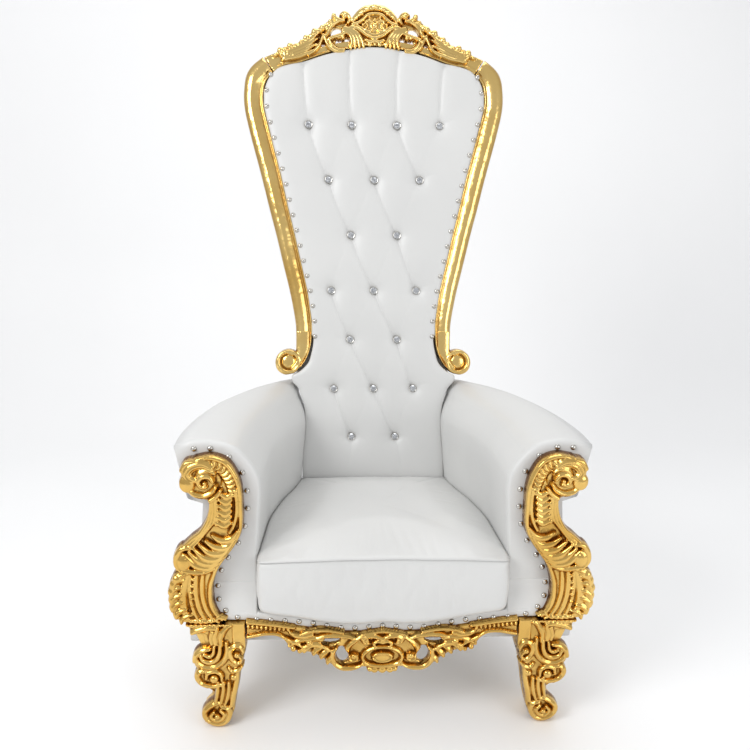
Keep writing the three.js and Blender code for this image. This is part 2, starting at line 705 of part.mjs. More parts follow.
/** One carved front leg: collar, cabochon knee, pinched ankle and scrolled toe. */
function frontLeg() {
  const body = turnedLeg([
    { z: 0, x: [393, 440], y: [6, 84] },
    { z: 10, x: [378, 450], y: [-2, 92] },
    { z: 34, x: [368, 444], y: [0, 92] },
    { z: 56, x: [363, 424], y: [16, 88] },
    { z: 80, x: [359, 424], y: [22, 90] },
    { z: 100, x: [356, 450], y: [18, 96] },
    { z: 134, x: [350, 456], y: [8, 104] },
    { z: 168, x: [343, 458], y: [4, 110] },
    { z: 200, x: [333, 446], y: [6, 112] },
    { z: PLATFORM_BASE - GAP, x: [331, 440], y: [6, 112] },
    { z: PLATFORM_BASE, x: [331, 442], y: [6, CARVED_DEPTH] },
    { z: 246, x: [331, 454], y: [6, CARVED_DEPTH] },
    { z: SEAT_BASE + 19, x: [331, 464], y: [6, CARVED_DEPTH] },
  ]);
  const collar = [
    board([[330, 216], [362, 216], [362, 287], [330, 283]], { y: 3, depth: 20, ease: 2 }),
    carved(
      [[366, 282, 6], [378, 262, 9], [396, 246, 10], [418, 240, 10], [440, 248, 9], [468, 282, 6]],
      { y: -8, depth: 30, steps: 7, rise: 6 },
    ),
  ];
  const knee = [
    cabochon(392, 176, { y: 4, wide: 24, tall: 30, forward: 16 }),
    carved(
      [[372, 206, 5], [360, 184, 6], [362, 158, 7], [380, 138, 7], [404, 136, 6], [420, 150, 5]],
      { y: -8, depth: 34, steps: 4 },
    ),
    carved(
      [[432, 222, 5], [438, 204, 7], [456, 190, 7], [462, 168, 7], [448, 152, 6], [432, 160, 5]],
      { y: -4, depth: 36, steps: 4 },
    ),
    stud(444, 172, 9, { y: -10, depth: 40 }),
  ];
  const shin = [
    carved(
      [[338, 214, 5], [344, 190, 6], [350, 160, 6], [358, 128, 6], [366, 100, 6], [372, 74, 6]],
      { depth: 36, steps: 4 },
    ),
    carved(
      [[404, 132, 5], [430, 134, 7], [454, 128, 7], [460, 110, 6], [448, 96, 6], [424, 100, 6]],
      { y: -4, depth: 40, steps: 4 },
    ),
    stud(438, 114, 9, { y: -8, depth: 40 }),
    carved([[392, 128, 8], [390, 104, 9], [392, 78, 8], [396, 54, 8]], { y: 4, depth: 40, steps: 3 }),
  ];
  const toe = [
    carved(
      [[374, 60, 5], [372, 36, 7], [386, 16, 8], [410, 10, 8], [432, 18, 8], [436, 38, 7], [412, 42, 5]],
      { y: -12, depth: 50 },
    ),
    stud(420, 30, 10, { y: -14, depth: 50 }),
  ];
  const floor = new THREE.BoxGeometry(400, 600, 100).translate(400, 0, -50);
  const behind = new THREE.BoxGeometry(400, 200, 200);
  behind.translate(400, CARVED_DEPTH + 100, PLATFORM_BASE - GAP + 100);
  const inner = new THREE.BoxGeometry(100, 400, 600).translate(329 + GAP - 50, 0, 200);
  const over = new THREE.BoxGeometry(400, 400, 100).translate(400, 0, SEAT_BASE + 20 - GAP + 50);
  return geometryOf(carve([body, ...collar, ...knee, ...shin, ...toe], floor, behind, inner, over));
}

/** One plain rear leg, raked backward. */
function rearLeg() {
  const body = turnedLeg([
    { z: 0, x: [212, 252], y: [588, 628] },
    { z: 22, x: [208, 256], y: [582, 632] },
    { z: 60, x: [212, 248], y: [568, 610] },
    { z: 130, x: [206, 252], y: [532, 588] },
    { z: PLATFORM_BASE - GAP, x: [196, 262], y: [496, 566] },
  ]);
  return geometryOf(solidOf(body));
}

/** The plain rail across the back, between the rear legs. */
function rearRail() {
  return geometryOf(solidOf(new THREE.BoxGeometry(380, 24, 50).translate(0, 545, PLATFORM_BASE - GAP - 25)));
}

// ---------- Assembly ----------

const materials = Object.fromEntries(
  Object.entries({ gilt: GILT, leather: LEATHER, crystal: CRYSTAL }).map(([name, look]) => [
    name,
    Object.assign(new THREE.MeshStandardMaterial(look), { name }),
  ]),
);
const chair = new THREE.Group();
chair.name = "throne";

/** Adds a piece to the chair. */
function add(name, geometry, material) {
  const mesh = new THREE.Mesh(geometry, materials[material]);
  mesh.name = name;
  chair.add(mesh);
}

/** Adds a right-hand piece and its mirror image, whose faces are turned to stay outward. */
function addPair(name, geometry, material) {
  const twin = mirrored(geometry);
  twin.setIndex([...twin.index.array].reverse());
  add(`${name}_right`, geometry, material);
  add(`${name}_left`, twin, material);
}

add("crest_rail", crestRail(), "gilt");
addPair("back_stile", backStile(), "gilt");
add("back_pad", backPad(), "leather");
add("back_panel", backPanel(), "leather");
buttonPlaces().forEach((place, i) => add(`button_${String(i + 1).padStart(2, "0")}`, button(place), "crystal"));
addPair("arm", arm(), "leather");
addPair("arm_facing", armFacing(), "gilt");
add("seat_cushion", seatCushion(), "leather");
add("seat_frame", seatFrame(), "leather");
add("front_apron", frontApron(), "gilt");
addPair("side_apron", sideApron(), "gilt");
add("rear_rail", rearRail(), "gilt");
addPair("front_leg", frontLeg(), "gilt");
addPair("rear_leg", rearLeg(), "gilt");

const extent = new THREE.Box3().setFromObject(chair);
chair.children.forEach((mesh) => mesh.geometry.translate(0, -(extent.min.y + extent.max.y) / 2, -extent.min.z));

export default chair;
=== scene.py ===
"""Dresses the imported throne: carved gilt frame, white buttoned upholstery, crystal buttons and dome nails."""

import logging
import math
from dataclasses import dataclass
from enum import Enum
from typing import Callable, Iterable, Optional, Sequence

import bpy
import numpy as np
import openvdb
from mathutils import Matrix, Vector

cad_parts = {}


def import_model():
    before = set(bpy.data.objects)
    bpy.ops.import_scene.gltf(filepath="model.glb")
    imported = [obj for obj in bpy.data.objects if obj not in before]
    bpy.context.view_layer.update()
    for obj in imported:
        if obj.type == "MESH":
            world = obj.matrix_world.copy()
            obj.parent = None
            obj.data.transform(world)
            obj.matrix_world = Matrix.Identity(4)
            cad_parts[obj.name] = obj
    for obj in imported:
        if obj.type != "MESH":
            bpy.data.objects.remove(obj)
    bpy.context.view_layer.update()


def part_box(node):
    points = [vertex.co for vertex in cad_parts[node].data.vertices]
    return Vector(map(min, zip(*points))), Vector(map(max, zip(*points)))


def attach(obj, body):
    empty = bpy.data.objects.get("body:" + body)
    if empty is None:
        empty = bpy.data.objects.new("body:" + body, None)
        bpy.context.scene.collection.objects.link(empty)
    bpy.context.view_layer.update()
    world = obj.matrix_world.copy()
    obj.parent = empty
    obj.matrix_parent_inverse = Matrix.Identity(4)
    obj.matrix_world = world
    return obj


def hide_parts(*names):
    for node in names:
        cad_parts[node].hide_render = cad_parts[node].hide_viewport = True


Point = tuple[float, ...]
Array = np.ndarray
LOG = logging.getLogger("throne")

MM = 0.001
CELL = 1.5
OUTSIDE = -60.0
WEAR_ROUNDS = 2
RECESS_ROUNDS = 10
RECESS_DEPTH = 3.6
RECLINE = math.radians(10.8)
BACK_FOOT_Y = 0.534
BACK_FOOT_Z = 0.450
ARM_FRONT = 31 * MM


class Side(Enum):
    """The side of the chair that a piece is on, facing it from the front."""

    RIGHT = 1
    LEFT = -1

    @property
    def label(self) -> str:
        """How the side is written in the name of a piece."""
        return self.name.lower()


class Slot(Enum):
    """The three finishes of the chair."""

    GILT = "gilt"
    LEATHER = "leather"
    CRYSTAL = "crystal"


# ---------- Places in the frame ----------


@dataclass(frozen=True)
class Placing:
    """Where drawings made in the chair's front plane, or in the plane of its back, stand in the frame.

    Args:
        front: the frame's Y of the front plane of the arm facings.
    """

    front: float

    def upright(self, x: Array, y: Array, z: Array) -> Array:
        """Points drawn in the front plane, with y behind it, as points of the frame."""
        return np.stack([x, y + self.front, z], -1)

    def leaned(self, x: Array, y: Array, z: Array) -> Array:
        """Points drawn in the plane of the back, with y behind it, as points of the frame."""
        c, s = math.cos(RECLINE), math.sin(RECLINE)
        return np.stack([x, y * c + z * s + BACK_FOOT_Y + self.front, z * c - y * s + BACK_FOOT_Z], -1)


Map = Callable[[Array, Array, Array], Array]


def drawn(place: Map, x: Array, y: Array, z: Array, side: Side = Side.RIGHT) -> Array:
    """Sets points drawn in millimetres into the frame.

    Args:
        place: maps drawn points, in metres, into the frame.
        x, y, z: the points, as drawn for the right-hand side.
        side: the side they are wanted on.

    Returns:
        (n, 3) points of the frame.
    """
    return place(side.value * x.ravel() * MM, y.ravel() * MM, z.ravel() * MM)


def ring_quads(rings: int, around: int) -> Array:
    """The faces between closed rings of corners, each ring following the one before."""
    i, j = np.meshgrid(np.arange(rings - 1), np.arange(around), indexing="ij")
    a, b = i * around + j, i * around + (j + 1) % around
    return np.stack([a, b, b + around, a + around], -1).reshape(-1, 4)


def closed_skin(rings: int, around: int) -> list[Array]:
    """The faces of a skin of closed rings, with a fan over each end."""
    fan = np.array([(0, k + 1, k) for k in range(1, around - 1)])
    return [ring_quads(rings, around), fan, fan[:, ::-1] + (rings - 1) * around]


def turned(faces: Sequence[Array], flip: bool) -> list[Array]:
    """The same faces, turned inside out if asked."""
    return [face[:, ::-1] if flip else face for face in faces]


def make_object(
    name: str, points: Array, faces: Sequence[Array], recess: Optional[Array] = None
) -> bpy.types.Object:
    """Makes a smooth-shaded mesh object.

    Args:
        name: the object's name.
        points: (n, 3) places of its corners.
        faces: arrays of corner numbers, each (k, 3) or (k, 4).
        recess: how deep each corner lies in the carving, 0 to 1.

    Returns:
        The new object, linked to the scene.
    """
    mesh = bpy.data.meshes.new(name)
    sizes = np.concatenate([np.full(len(f), f.shape[1]) for f in faces])
    loops = np.concatenate([f.ravel() for f in faces]).astype(np.int32)
    mesh.vertices.add(len(points))
    mesh.vertices.foreach_set("co", np.asarray(points, np.float32).ravel())
    mesh.loops.add(len(loops))
    mesh.loops.foreach_set("vertex_index", loops)
    mesh.polygons.add(len(sizes))
    mesh.polygons.foreach_set("loop_start", np.concatenate([[0], np.cumsum(sizes)[:-1]]).astype(np.int32))
    mesh.polygons.foreach_set("use_smooth", np.ones(len(sizes), bool))
    mesh.update(calc_edges=True)
    mesh.validate()
    if recess is not None:
        mesh.attributes.new("recess", "FLOAT", "POINT").data.foreach_set("value", recess.astype(np.float32))
    made = bpy.data.objects.new(name, mesh)
    bpy.context.scene.collection.objects.link(made)
    return made


# ---------- Carving ----------


def smooth_line(points: Sequence[Point], count: int = 48) -> Array:
    """A Catmull-Rom curve through points of any size, evenly cut.

    Args:
        points: the points, such as (x, z, half width).
        count: how many points to return.

    Returns:
        (count, k) points.
    """
    p = np.array(points, float)
    if len(p) == 2:
        p = np.array([p[0], (p[0] + p[1]) / 2, p[1]])
    ends = np.vstack([2 * p[0] - p[1], p, 2 * p[-1] - p[-2]])
    out = []
    for i in range(1, len(ends) - 2):
        a, b, c, d = ends[i - 1 : i + 3]
        t = np.linspace(0, 1, 17)[:, None]
        out.append(0.5 * (2 * b + (c - a) * t + (2 * a - 5 * b + 4 * c - d) * t**2 + (3 * b - a - 3 * c + d) * t**3))
    dense = np.vstack(out)
    way = np.concatenate([[0], np.cumsum(np.hypot(*np.diff(dense[:, :2], axis=0).T))])
    at = np.linspace(0, way[-1], count)
    return np.stack([np.interp(at, way, dense[:, k]) for k in range(dense.shape[1])], -1)


class Relief:
    """A panel of relief carving: how far it stands out and how far inside its outline each spot is.

    Drawn in millimetres in an upright plane; what is carved stands out forward of the plane at 0.
    """

    def __init__(self, low: Point, high: Point, step: float = 1.0, mirrored: bool = False) -> None:
        """Lays out the panel.

        Args:
            low, high: opposite corners (x, z).
            step: the size of a spot.
            mirrored: whether what is drawn on the right also appears on the left.
        """
        self.step = step
        self.xs = np.arange(low[0], high[0] + step, step)
        self.zs = np.arange(low[1], high[1] + step, step)
        self.x, self.z = np.meshgrid(self.xs, self.zs, indexing="ij")
        if mirrored:
            self.x = np.abs(self.x)
        self.height = np.full(self.x.shape, OUTSIDE)
        self.inside = np.full(self.x.shape, OUTSIDE)

    def stroke(
        self,
        points: Sequence[Point],
        base: float = 0.0,
        crown: float = 5.0,
        flutes: int = 0,
        ribs: float = 0.0,
        rib_depth: float = 2.0,
        lead: float = 0.0,
        lift: float = 0.0,
        profile: Optional[Callable[[Array], Array]] = None,
    ) -> None:
        """Carves a band along a line.

        Args:
            points: (x, z, half width) along its middle.
            base: how far its edge stands out.
            crown: how much further its middle stands out.
            flutes: grooves that run along it.
            ribs: spacing of ribs across it, or 0.
            rib_depth: depth of flutes and ribs.
            lead: how far the ribs' middles run ahead, as a share of the half width.
            lift: extra height at the line's far end.
            profile: height across it from -1 to 1, instead of a round crown.
        """
        line = smooth_line(points, max(24, 8 * len(points)))
        reach = line[:, 2].max() + 3
        window = (
            (self.x > line[:, 0].min() - reach)
            & (self.x < line[:, 0].max() + reach)
            & (self.z > line[:, 1].min() - reach)
            & (self.z < line[:, 1].max() + reach)
        )
        x, z = self.x[window], self.z[window]
        if not len(x):
            return
        near = np.full(x.shape, 1e9)
        way = np.zeros(x.shape)
        wide = np.ones(x.shape)
        side = np.zeros(x.shape)
        gone = 0.0
        for (ax, az, ar), (bx, bz, br) in zip(line[:-1], line[1:]):
            dx, dz = bx - ax, bz - az
            length = math.hypot(dx, dz) or 1e-6
            t = np.clip(((x - ax) * dx + (z - az) * dz) / length**2, 0, 1)
            ex, ez = x - ax - t * dx, z - az - t * dz
            r = ar + t * (br - ar)
            d = np.hypot(ex, ez)
            closer = d / r < near
            near = np.where(closer, d / r, near)
            way = np.where(closer, gone + t * length, way)
            wide = np.where(closer, r, wide)
            side = np.where(closer, np.sign(ex * dz - ez * dx), side)
            gone += length
        ahead = way + lead * wide * np.sqrt(np.clip(1 - near**2, 0, 1)) if ribs else way
        share = np.clip(near, 0, 1.5)
        round_top = crown * np.sqrt(np.clip(1 - share**2, 0, 1))
        top = base + (profile(share * side) if profile else round_top) + lift * way / gone
        if flutes:
            top = top - rib_depth * (0.5 - 0.5 * np.cos(math.pi * (flutes + 1) * (share * side + 1)))
        if ribs:
            top = top - rib_depth * (1 - np.abs(np.sin(math.pi * ahead / ribs))) * np.clip(1.3 - share**4, 0, 1)
        body = share < 1
        self.height[window] = np.where(body, np.maximum(self.height[window], top), self.height[window])
        self.inside[window] = np.maximum(self.inside[window], wide * (1 - near))

    def leaf(self, points: Sequence[Point], base: float, crown: float, lift: float = 0.0) -> None:
        """Carves a leaf: a band with a shallow groove down its middle."""
        self.stroke(points, base, crown, flutes=1, rib_depth=2, lift=lift)

    def bead(
        self, x: float, z: float, radius: float, base: float = 0.0, crown: float = 8.0, tall: float = 1.0
    ) -> None:
        """Carves a round or oval bead."""
        d = np.hypot(self.x - x, (self.z - z) / tall) / radius
        body = d < 1
        top = base + crown * np.sqrt(np.clip(1 - d**2, 0, 1))
        self.height = np.where(body, np.maximum(self.height, top), self.height)
        self.inside = np.maximum(self.inside, radius * (1 - d))

    def beads(self, places: Iterable[Point], base: float = 0.0, crown: float = 8.0) -> None:
        """Carves several beads at (x, z, radius)."""
        for x, z, radius in places:
            self.bead(x, z, radius, base, crown)

    def plate(self, outline: Sequence[Point], base: float) -> None:
        """Fills an outline with a flat ground.

        Args:
            outline: its corners (x, z).
            base: how far it stands out.
        """
        inside = self.distance_in(outline)
        self.height = np.where(inside > 0, np.maximum(self.height, base), self.height)
        self.inside = np.maximum(self.inside, inside)

    def distance_in(self, outline: Sequence[Point]) -> Array:
        """How far each spot is inside a closed outline, negative outside.

        Args:
            outline: its corners (x, z).

        Returns:
            Distances in millimetres.
        """
        near = np.full(self.x.shape, 1e9)
        odd = np.zeros(self.x.shape, bool)
        for (ax, az), (bx, bz) in zip(outline, [*outline[1:], outline[0]]):
            dx, dz = bx - ax, bz - az
            t = np.clip(((self.x - ax) * dx + (self.z - az) * dz) / (dx * dx + dz * dz + 1e-9), 0, 1)
            near = np.minimum(near, np.hypot(self.x - ax - t * dx, self.z - az - t * dz))
            crosses = (az > self.z) != (bz > self.z)
            odd ^= crosses & (self.x < ax + (self.z - az) * dx / (dz if dz else 1e-9))
        return np.where(odd, near, -near)

    def pierce(self, x: float, z: float, wide: float, tall: float, turn: float = 0.0) -> None:
        """Cuts an oval hole right through, turned by some degrees."""
        c, s = math.cos(math.radians(turn)), math.sin(math.radians(turn))
        u, v = (self.x - x) * c + (self.z - z) * s, (self.z - z) * c - (self.x - x) * s
        d = (np.hypot(u / wide, v / tall) - 1) * min(wide, tall)
        self.inside = np.minimum(self.inside, d)

    def sunk(self, x: float, z: float, wide: float, tall: float, depth: float) -> None:
        """Presses an oval hollow into what is there."""
        d = np.hypot((self.x - x) / wide, (self.z - z) / tall)
        self.height = self.height - depth * np.clip(1 - d**2, 0, 1) ** 0.7

    def softened(self) -> None:
        """Wears the edges down a little."""
        for _ in range(WEAR_ROUNDS):
            h = np.where(self.inside > -2, np.maximum(self.height, -12), -12)
            for axis in (0, 1):
                h = 0.25 * (np.roll(h, 1, axis) + np.roll(h, -1, axis)) + 0.5 * h
            self.height = np.where(self.inside > -2, h, self.height)

    def recess(self) -> Array:
        """How far each spot lies below its surroundings, from 0 to 1."""
        h = np.where(self.inside > 0, self.height, np.nan)
        filled = np.where(np.isnan(h), -6.0, h)
        wide = filled
        for _ in range(RECESS_ROUNDS):
            for axis in (0, 1):
                wide = 0.25 * (np.roll(wide, 1, axis) + np.roll(wide, -1, axis)) + 0.5 * wide
        return np.clip((wide - filled) / RECESS_DEPTH, 0, 1)

    def solid(self, depth: Array | float, ease: float = 3.0, front: float = 16.0, cell: float = CELL) -> "Solid":
        """The panel as a solid.

        Args:
            depth: how far back it goes.
            ease: rounding of its outer edge.
            front: the furthest that anything stands out.
            cell: the size of the solid's cells.

        Returns:
            A solid with this panel's recesses.
        """
        near = np.clip(1 - np.clip(self.inside, 0, None) / ease, 0, 1)
        h = self.height - ease * (1 - np.sqrt(1 - near**2))
        ys = np.arange(-front, np.max(depth) + max(4, 2 * cell), cell)
        xs = np.arange(self.xs[0], self.xs[-1], cell)
        zs = np.arange(self.zs[0], self.zs[-1], cell)
        top = resample(h, self.xs, self.zs, xs, zs)[:, None, :]
        rim = resample(self.inside, self.xs, self.zs, xs, zs)[:, None, :]
        back = depth if np.isscalar(depth) else resample(depth, self.xs, self.zs, xs, zs)[:, None, :]
        y = ys[None, :, None]
        value = np.minimum(np.minimum(y + top, rim), back - y)
        return Solid(xs, ys, zs, value.astype(np.float32), self, cell)


def resample(values: Array, xs: Array, zs: Array, new_x: Array, new_z: Array) -> Array:
    """Reads a grid of values at another grid's spots, by straight lines between them."""
    fx = np.clip((new_x - xs[0]) / (xs[1] - xs[0]), 0, len(xs) - 1.001)
    fz = np.clip((new_z - zs[0]) / (zs[1] - zs[0]), 0, len(zs) - 1.001)
    i, k = fx.astype(int), fz.astype(int)
    u, w = (fx - i)[:, None], (fz - k)[None, :]
    a, b = values[np.ix_(i, k)], values[np.ix_(i + 1, k)]
    c, d = values[np.ix_(i, k + 1)], values[np.ix_(i + 1, k + 1)]
    return (a * (1 - u) + b * u) * (1 - w) + (c * (1 - u) + d * u) * w


@dataclass
class Solid:
    """Carved stuff as a block of small cells; values above 0 are inside."""

    xs: Array
    ys: Array
    zs: Array
    value: Array
    relief: Optional[Relief] = None
    cell: float = CELL

    def mesh(self, name: str, place: Map, side: Side = Side.RIGHT, keep: float = 0.46) -> bpy.types.Object:
        """Skins the block.

        Args:
            name: the object's name.
            place: maps drawn points, in metres, into the frame.
            side: the side it is made for; the left-hand twin is mirrored.
            keep: share of the triangles that is kept, flattest places going first.

        Returns:
            The new object.
        """
        band = 3 * self.cell
        grid = openvdb.FloatGrid(band)
        block = np.clip(-self.value, -band, band)
        for axis in range(3):
            edge = [slice(None)] * 3
            for at in (0, -1):
                edge[axis] = at
                block[tuple(edge)] = band
        grid.copyFromArray(block)
        points, tris, quads = grid.convertToPolygons(isovalue=0.0, adaptivity=0.0)
        low = np.array([self.xs[0], self.ys[0], self.zs[0]])
        spots = points * self.cell + low
        recess = np.zeros(len(spots))
        if self.relief is not None:
            r = self.relief
            i = np.clip(((spots[:, 0] - r.xs[0]) / r.step).round().astype(int), 0, len(r.xs) - 1)
            k = np.clip(((spots[:, 2] - r.zs[0]) / r.step).round().astype(int), 0, len(r.zs) - 1)
            recess = r.recess()[i, k]
        faces = turned([f for f in (tris, quads) if len(f)], side is Side.LEFT)
        return thinned(make_object(name, drawn(place, *spots.T, side), faces, recess), keep)


def thinned(piece: bpy.types.Object, keep: float) -> bpy.types.Object:
    """Makes a skinned piece lighter, taking triangles first from where it is flattest.

    Args:
        piece: the piece, with its full mesh.
        keep: share of the triangles that is kept.

    Returns:
        The same piece.
    """
    cut = piece.modifiers.new("lighter", "DECIMATE")
    cut.ratio = keep
    graph = bpy.context.evaluated_depsgraph_get()
    shaped = piece.evaluated_get(graph)
    light = bpy.data.meshes.new_from_object(shaped, preserve_all_data_layers=True, depsgraph=graph)
    full = piece.data
    piece.modifiers.remove(cut)
    piece.data = light
    bpy.data.meshes.remove(full)
    light.name = piece.name
    return piece


# ---------- Finishes ----------


class Link:
    """A shader socket that can be used in sums: a + b, 1 - a, a * b and so on add the Math nodes."""

    def __init__(self, graph: "Graph", socket: bpy.types.NodeSocket) -> None:
        """Wraps a socket of a graph."""
        self.graph = graph
        self.socket = socket

    def _math(self, operation: str, *values: "Link | float") -> "Link":
        """A Math node on some values."""
        return self.graph.node("ShaderNodeMath", {"operation": operation}, dict(enumerate(values)))

    def __add__(self, other: "Link | float") -> "Link":
        """Sum."""
        return self._math("ADD", self, other)

    __radd__ = __add__

    def __sub__(self, other: "Link | float") -> "Link":
        """Difference."""
        return self._math("SUBTRACT", self, other)

    def __rsub__(self, other: float) -> "Link":
        """Difference, the other way."""
        return self._math("SUBTRACT", other, self)

    def __mul__(self, other: "Link | float") -> "Link":
        """Product."""
        return self._math("MULTIPLY", self, other)

    __rmul__ = __mul__

    def __pow__(self, other: float) -> "Link":
        """Power."""
        return self._math("POWER", self, other)

    def clamped(self) -> "Link":
        """Held between 0 and 1."""
        return self.graph.node("ShaderNodeClamp", {}, {"Value": self})


class Graph:
    """The node tree of one material."""

    def __init__(self, name: str) -> None:
        """Makes an empty material with an output."""
        self.material = bpy.data.materials.new(name)
        self.material.use_nodes = True
        self.tree = self.material.node_tree
        self.tree.nodes.clear()
        self.out = self.tree.nodes.new("ShaderNodeOutputMaterial")

    def node(self, kind: str, settings: dict[str, object], values: dict[object, object], out: object = 0) -> Link:
        """Adds a node.

        Args:
            kind: its type.
            settings: its properties; "stops" sets a colour ramp's (place, colour) pairs.
            values: socket name or number to a value or a Link.
            out: the socket to return.

        Returns:
            The chosen output.
        """
        made = self.tree.nodes.new(kind)
        for key, value in settings.items():
            if key == "stops":
                ramp = made.color_ramp.elements
                while len(ramp) < len(value):
                    ramp.new(0.5)
                for stop, (at, colour) in zip(ramp, value):
                    stop.position, stop.color = at, (*colour, 1)
            else:
                setattr(made, key, value)
        for key, value in values.items():
            if isinstance(value, Link):
                self.tree.links.new(value.socket, made.inputs[key])
            else:
                made.inputs[key].default_value = value
        return Link(self, made.outputs[out])

    def place(self) -> Link:
        """The spot being shaded, in metres."""
        return self.node("ShaderNodeTexCoord", {}, {}, "Object")

    def noise(self, scale: float, detail: float, rough: float) -> Link:
        """Soft noise from 0 to 1."""
        values = {"Vector": self.place(), "Scale": scale, "Detail": detail, "Roughness": rough}
        return self.node("ShaderNodeTexNoise", {}, values)

    def cells(self, scale: float) -> Link:
        """Distance to the middle of the nearest of many small cells."""
        return self.node("ShaderNodeTexVoronoi", {"feature": "F1"}, {"Vector": self.place(), "Scale": scale})

    def recess(self) -> Link:
        """How deep the spot lies in the carving, the mask of the gilding's painted shade."""
        return self.node("ShaderNodeAttribute", {"attribute_name": "recess"}, {}, "Fac")

    def mix(self, share: "Link | float", a: object, b: object) -> Link:
        """A colour between two."""
        spread = [(*c, 1) if isinstance(c, tuple) else c for c in (a, b)]
        values = {0: share, 6: spread[0], 7: spread[1]}
        return self.node("ShaderNodeMix", {"data_type": "RGBA"}, values, 2)

    def bump(self, height: Link, distance: float, strength: float, normal: Optional[Link] = None) -> Link:
        """A bumped normal, over another one if given."""
        values: dict[object, object] = {"Height": height, "Distance": distance, "Strength": strength}
        if normal:
            values["Normal"] = normal
        return self.node("ShaderNodeBump", {}, values)

    def shade(self, **values: object) -> bpy.types.Material:
        """Ends the material with a principled shader.

        Args:
            values: socket names, with _ for spaces, to values or Links.

        Returns:
            The material.
        """
        named = {key.replace("_", " "): value for key, value in values.items()}
        shader = self.node("ShaderNodeBsdfPrincipled", {}, named)
        self.tree.links.new(shader.socket, self.out.inputs["Surface"])
        return self.material


@dataclass(frozen=True)
class Gilding:
    """Burnished gold leaf over carved wood: bright on the high places, with painted shade turning it brown in the
    recesses.
    """

    bright: Point = (0.95, 0.71, 0.29)
    deep: Point = (0.78, 0.50, 0.145)
    # dark brown painted as shade in the hollows and also laid on random worn patches; the last field sets how
    # strongly the hollows are painted dark
    shade_and_wear: Point = (0.24, 0.10, 0.018)
    roughness: float = 0.18
    hollow_shade: float = 1.3

    def material(self, name: str = "gilding") -> bpy.types.Material:
        """The finish as a material.

        Args:
            name: what the material is called.

        Returns:
            The material.
        """
        g = Graph(name)
        worn = g.noise(38, 5, 0.6)
        cloud = g.noise(7, 3, 0.5)
        hollow = g.recess()
        leaf = g.mix((cloud * 1.6 - 0.35).clamped(), self.deep, self.bright)
        # painted shade: the leaf darkens to the brown in the carving's hollows, and also in random worn patches
        shaded_leaf = g.mix((hollow * self.hollow_shade + (worn - 0.5) * 0.35).clamped(), leaf, self.shade_and_wear)
        rough = self.roughness + (worn - 0.5) * 0.12 + hollow * 0.25
        grain = g.noise(160, 4, 0.6)
        hand = g.noise(34, 2, 0.5)
        normal = g.bump(grain, 0.0006, 0.35, g.bump(hand, 0.004, 0.45))
        return g.shade(Base_Color=shaded_leaf, Metallic=1.0, Roughness=rough.clamped(), Normal=normal)


@dataclass(frozen=True)
class FauxLeather:
    """White faux leather: cool white, satin, with a fine pebble grain."""

    tint: Point = (0.69, 0.69, 0.675)
    shade: Point = (0.64, 0.64, 0.63)
    roughness: float = 0.42

    def material(self, name: str = "faux_leather") -> bpy.types.Material:
        """The finish as a material.

        Args:
            name: what the material is called.

        Returns:
            The material.
        """
        g = Graph(name)
        cloud = g.noise(5, 3, 0.5)
        colour = g.mix((cloud * 1.4 - 0.2).clamped(), self.shade, self.tint)
        pebble = g.cells(700) * 0.7 + g.noise(420, 3, 0.6) * 0.5
        soft = g.noise(14, 3, 0.5)
        normal = g.bump(pebble, 0.0005, 0.3, g.bump(soft, 0.006, 0.12))
        rough = self.roughness + (cloud - 0.5) * 0.1 + (g.noise(260, 2, 0.5) - 0.5) * 0.08
        return g.shade(Base_Color=colour, Roughness=rough, Normal=normal, Coat_Weight=0.12, Coat_Roughness=0.3)


@dataclass(frozen=True)
class Metal:
    """Plain bright metal with fine wear."""

    colour: Point
    roughness: float

    def material(self, name: str) -> bpy.types.Material:
        """The finish as a material.

        Args:
            name: what the material is called.

        Returns:
            The material.
        """
        g = Graph(name)
        worn = g.noise(500, 3, 0.6)
        colour = g.mix(worn, self.colour, tuple(c * 0.8 for c in self.colour))
        return g.shade(Base_Color=colour, Metallic=1.0, Roughness=self.roughness + (worn - 0.5) * 0.1)


@dataclass(frozen=True)
class Crystal:
    """Cut crystal backed with silver, with the facets' reflections painted into its colour as light and dark cells.
    """

    tint: Point = (0.86, 0.88, 0.90)

    def material(self, name: str = "crystal") -> bpy.types.Material:
        """The finish as a material.

        Args:
            name: what the material is called.

        Returns:
            The material.
        """
        g = Graph(name)
        # painted reflection: dark cells in the colour stand in for the facets' reflections
        facet_reflection = g.cells(240)
        colour = g.mix((facet_reflection * 1.2).clamped(), self.tint, (0.36, 0.37, 0.4))
        return g.shade(Base_Color=colour, Metallic=0.85, Roughness=0.06, Coat_Weight=1.0, Coat_Roughness=0.02)


class Finishes:
    """Every material of the chair."""

    def __init__(self) -> None:
        """Makes them."""
        self.gilding = Gilding().material()
        # a darker copy of the gilding for the arm facings and the base pieces, with stronger painted shade in its
        # hollows
        antique = Gilding((0.92, 0.63, 0.205), (0.62, 0.355, 0.075), (0.19, 0.075, 0.012), 0.17, 1.7)
        self.antique = antique.material("antique")
        self.leather = FauxLeather().material()
        self.nickel = Metal((0.62, 0.6, 0.56), 0.25).material("nickel")
        self.crystal = Crystal().material()


def dress(
    piece: bpy.types.Object, material: bpy.types.Material, slot: Optional[Slot], *nodes: str
) -> bpy.types.Object:
    """Finishes a piece and fixes it to the chair.

    Args:
        piece: the piece.
        material: its finish.
        slot: the slot of that finish; not used.
        nodes: the solids it stands for.

    Returns:
        The piece.
    """
    piece.data.materials.clear()
    piece.data.materials.append(material)
    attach(piece, "root")
    if nodes:
        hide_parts(*nodes)
    LOG.info("%s: %d faces", piece.name, len(piece.data.polygons))
    return piece


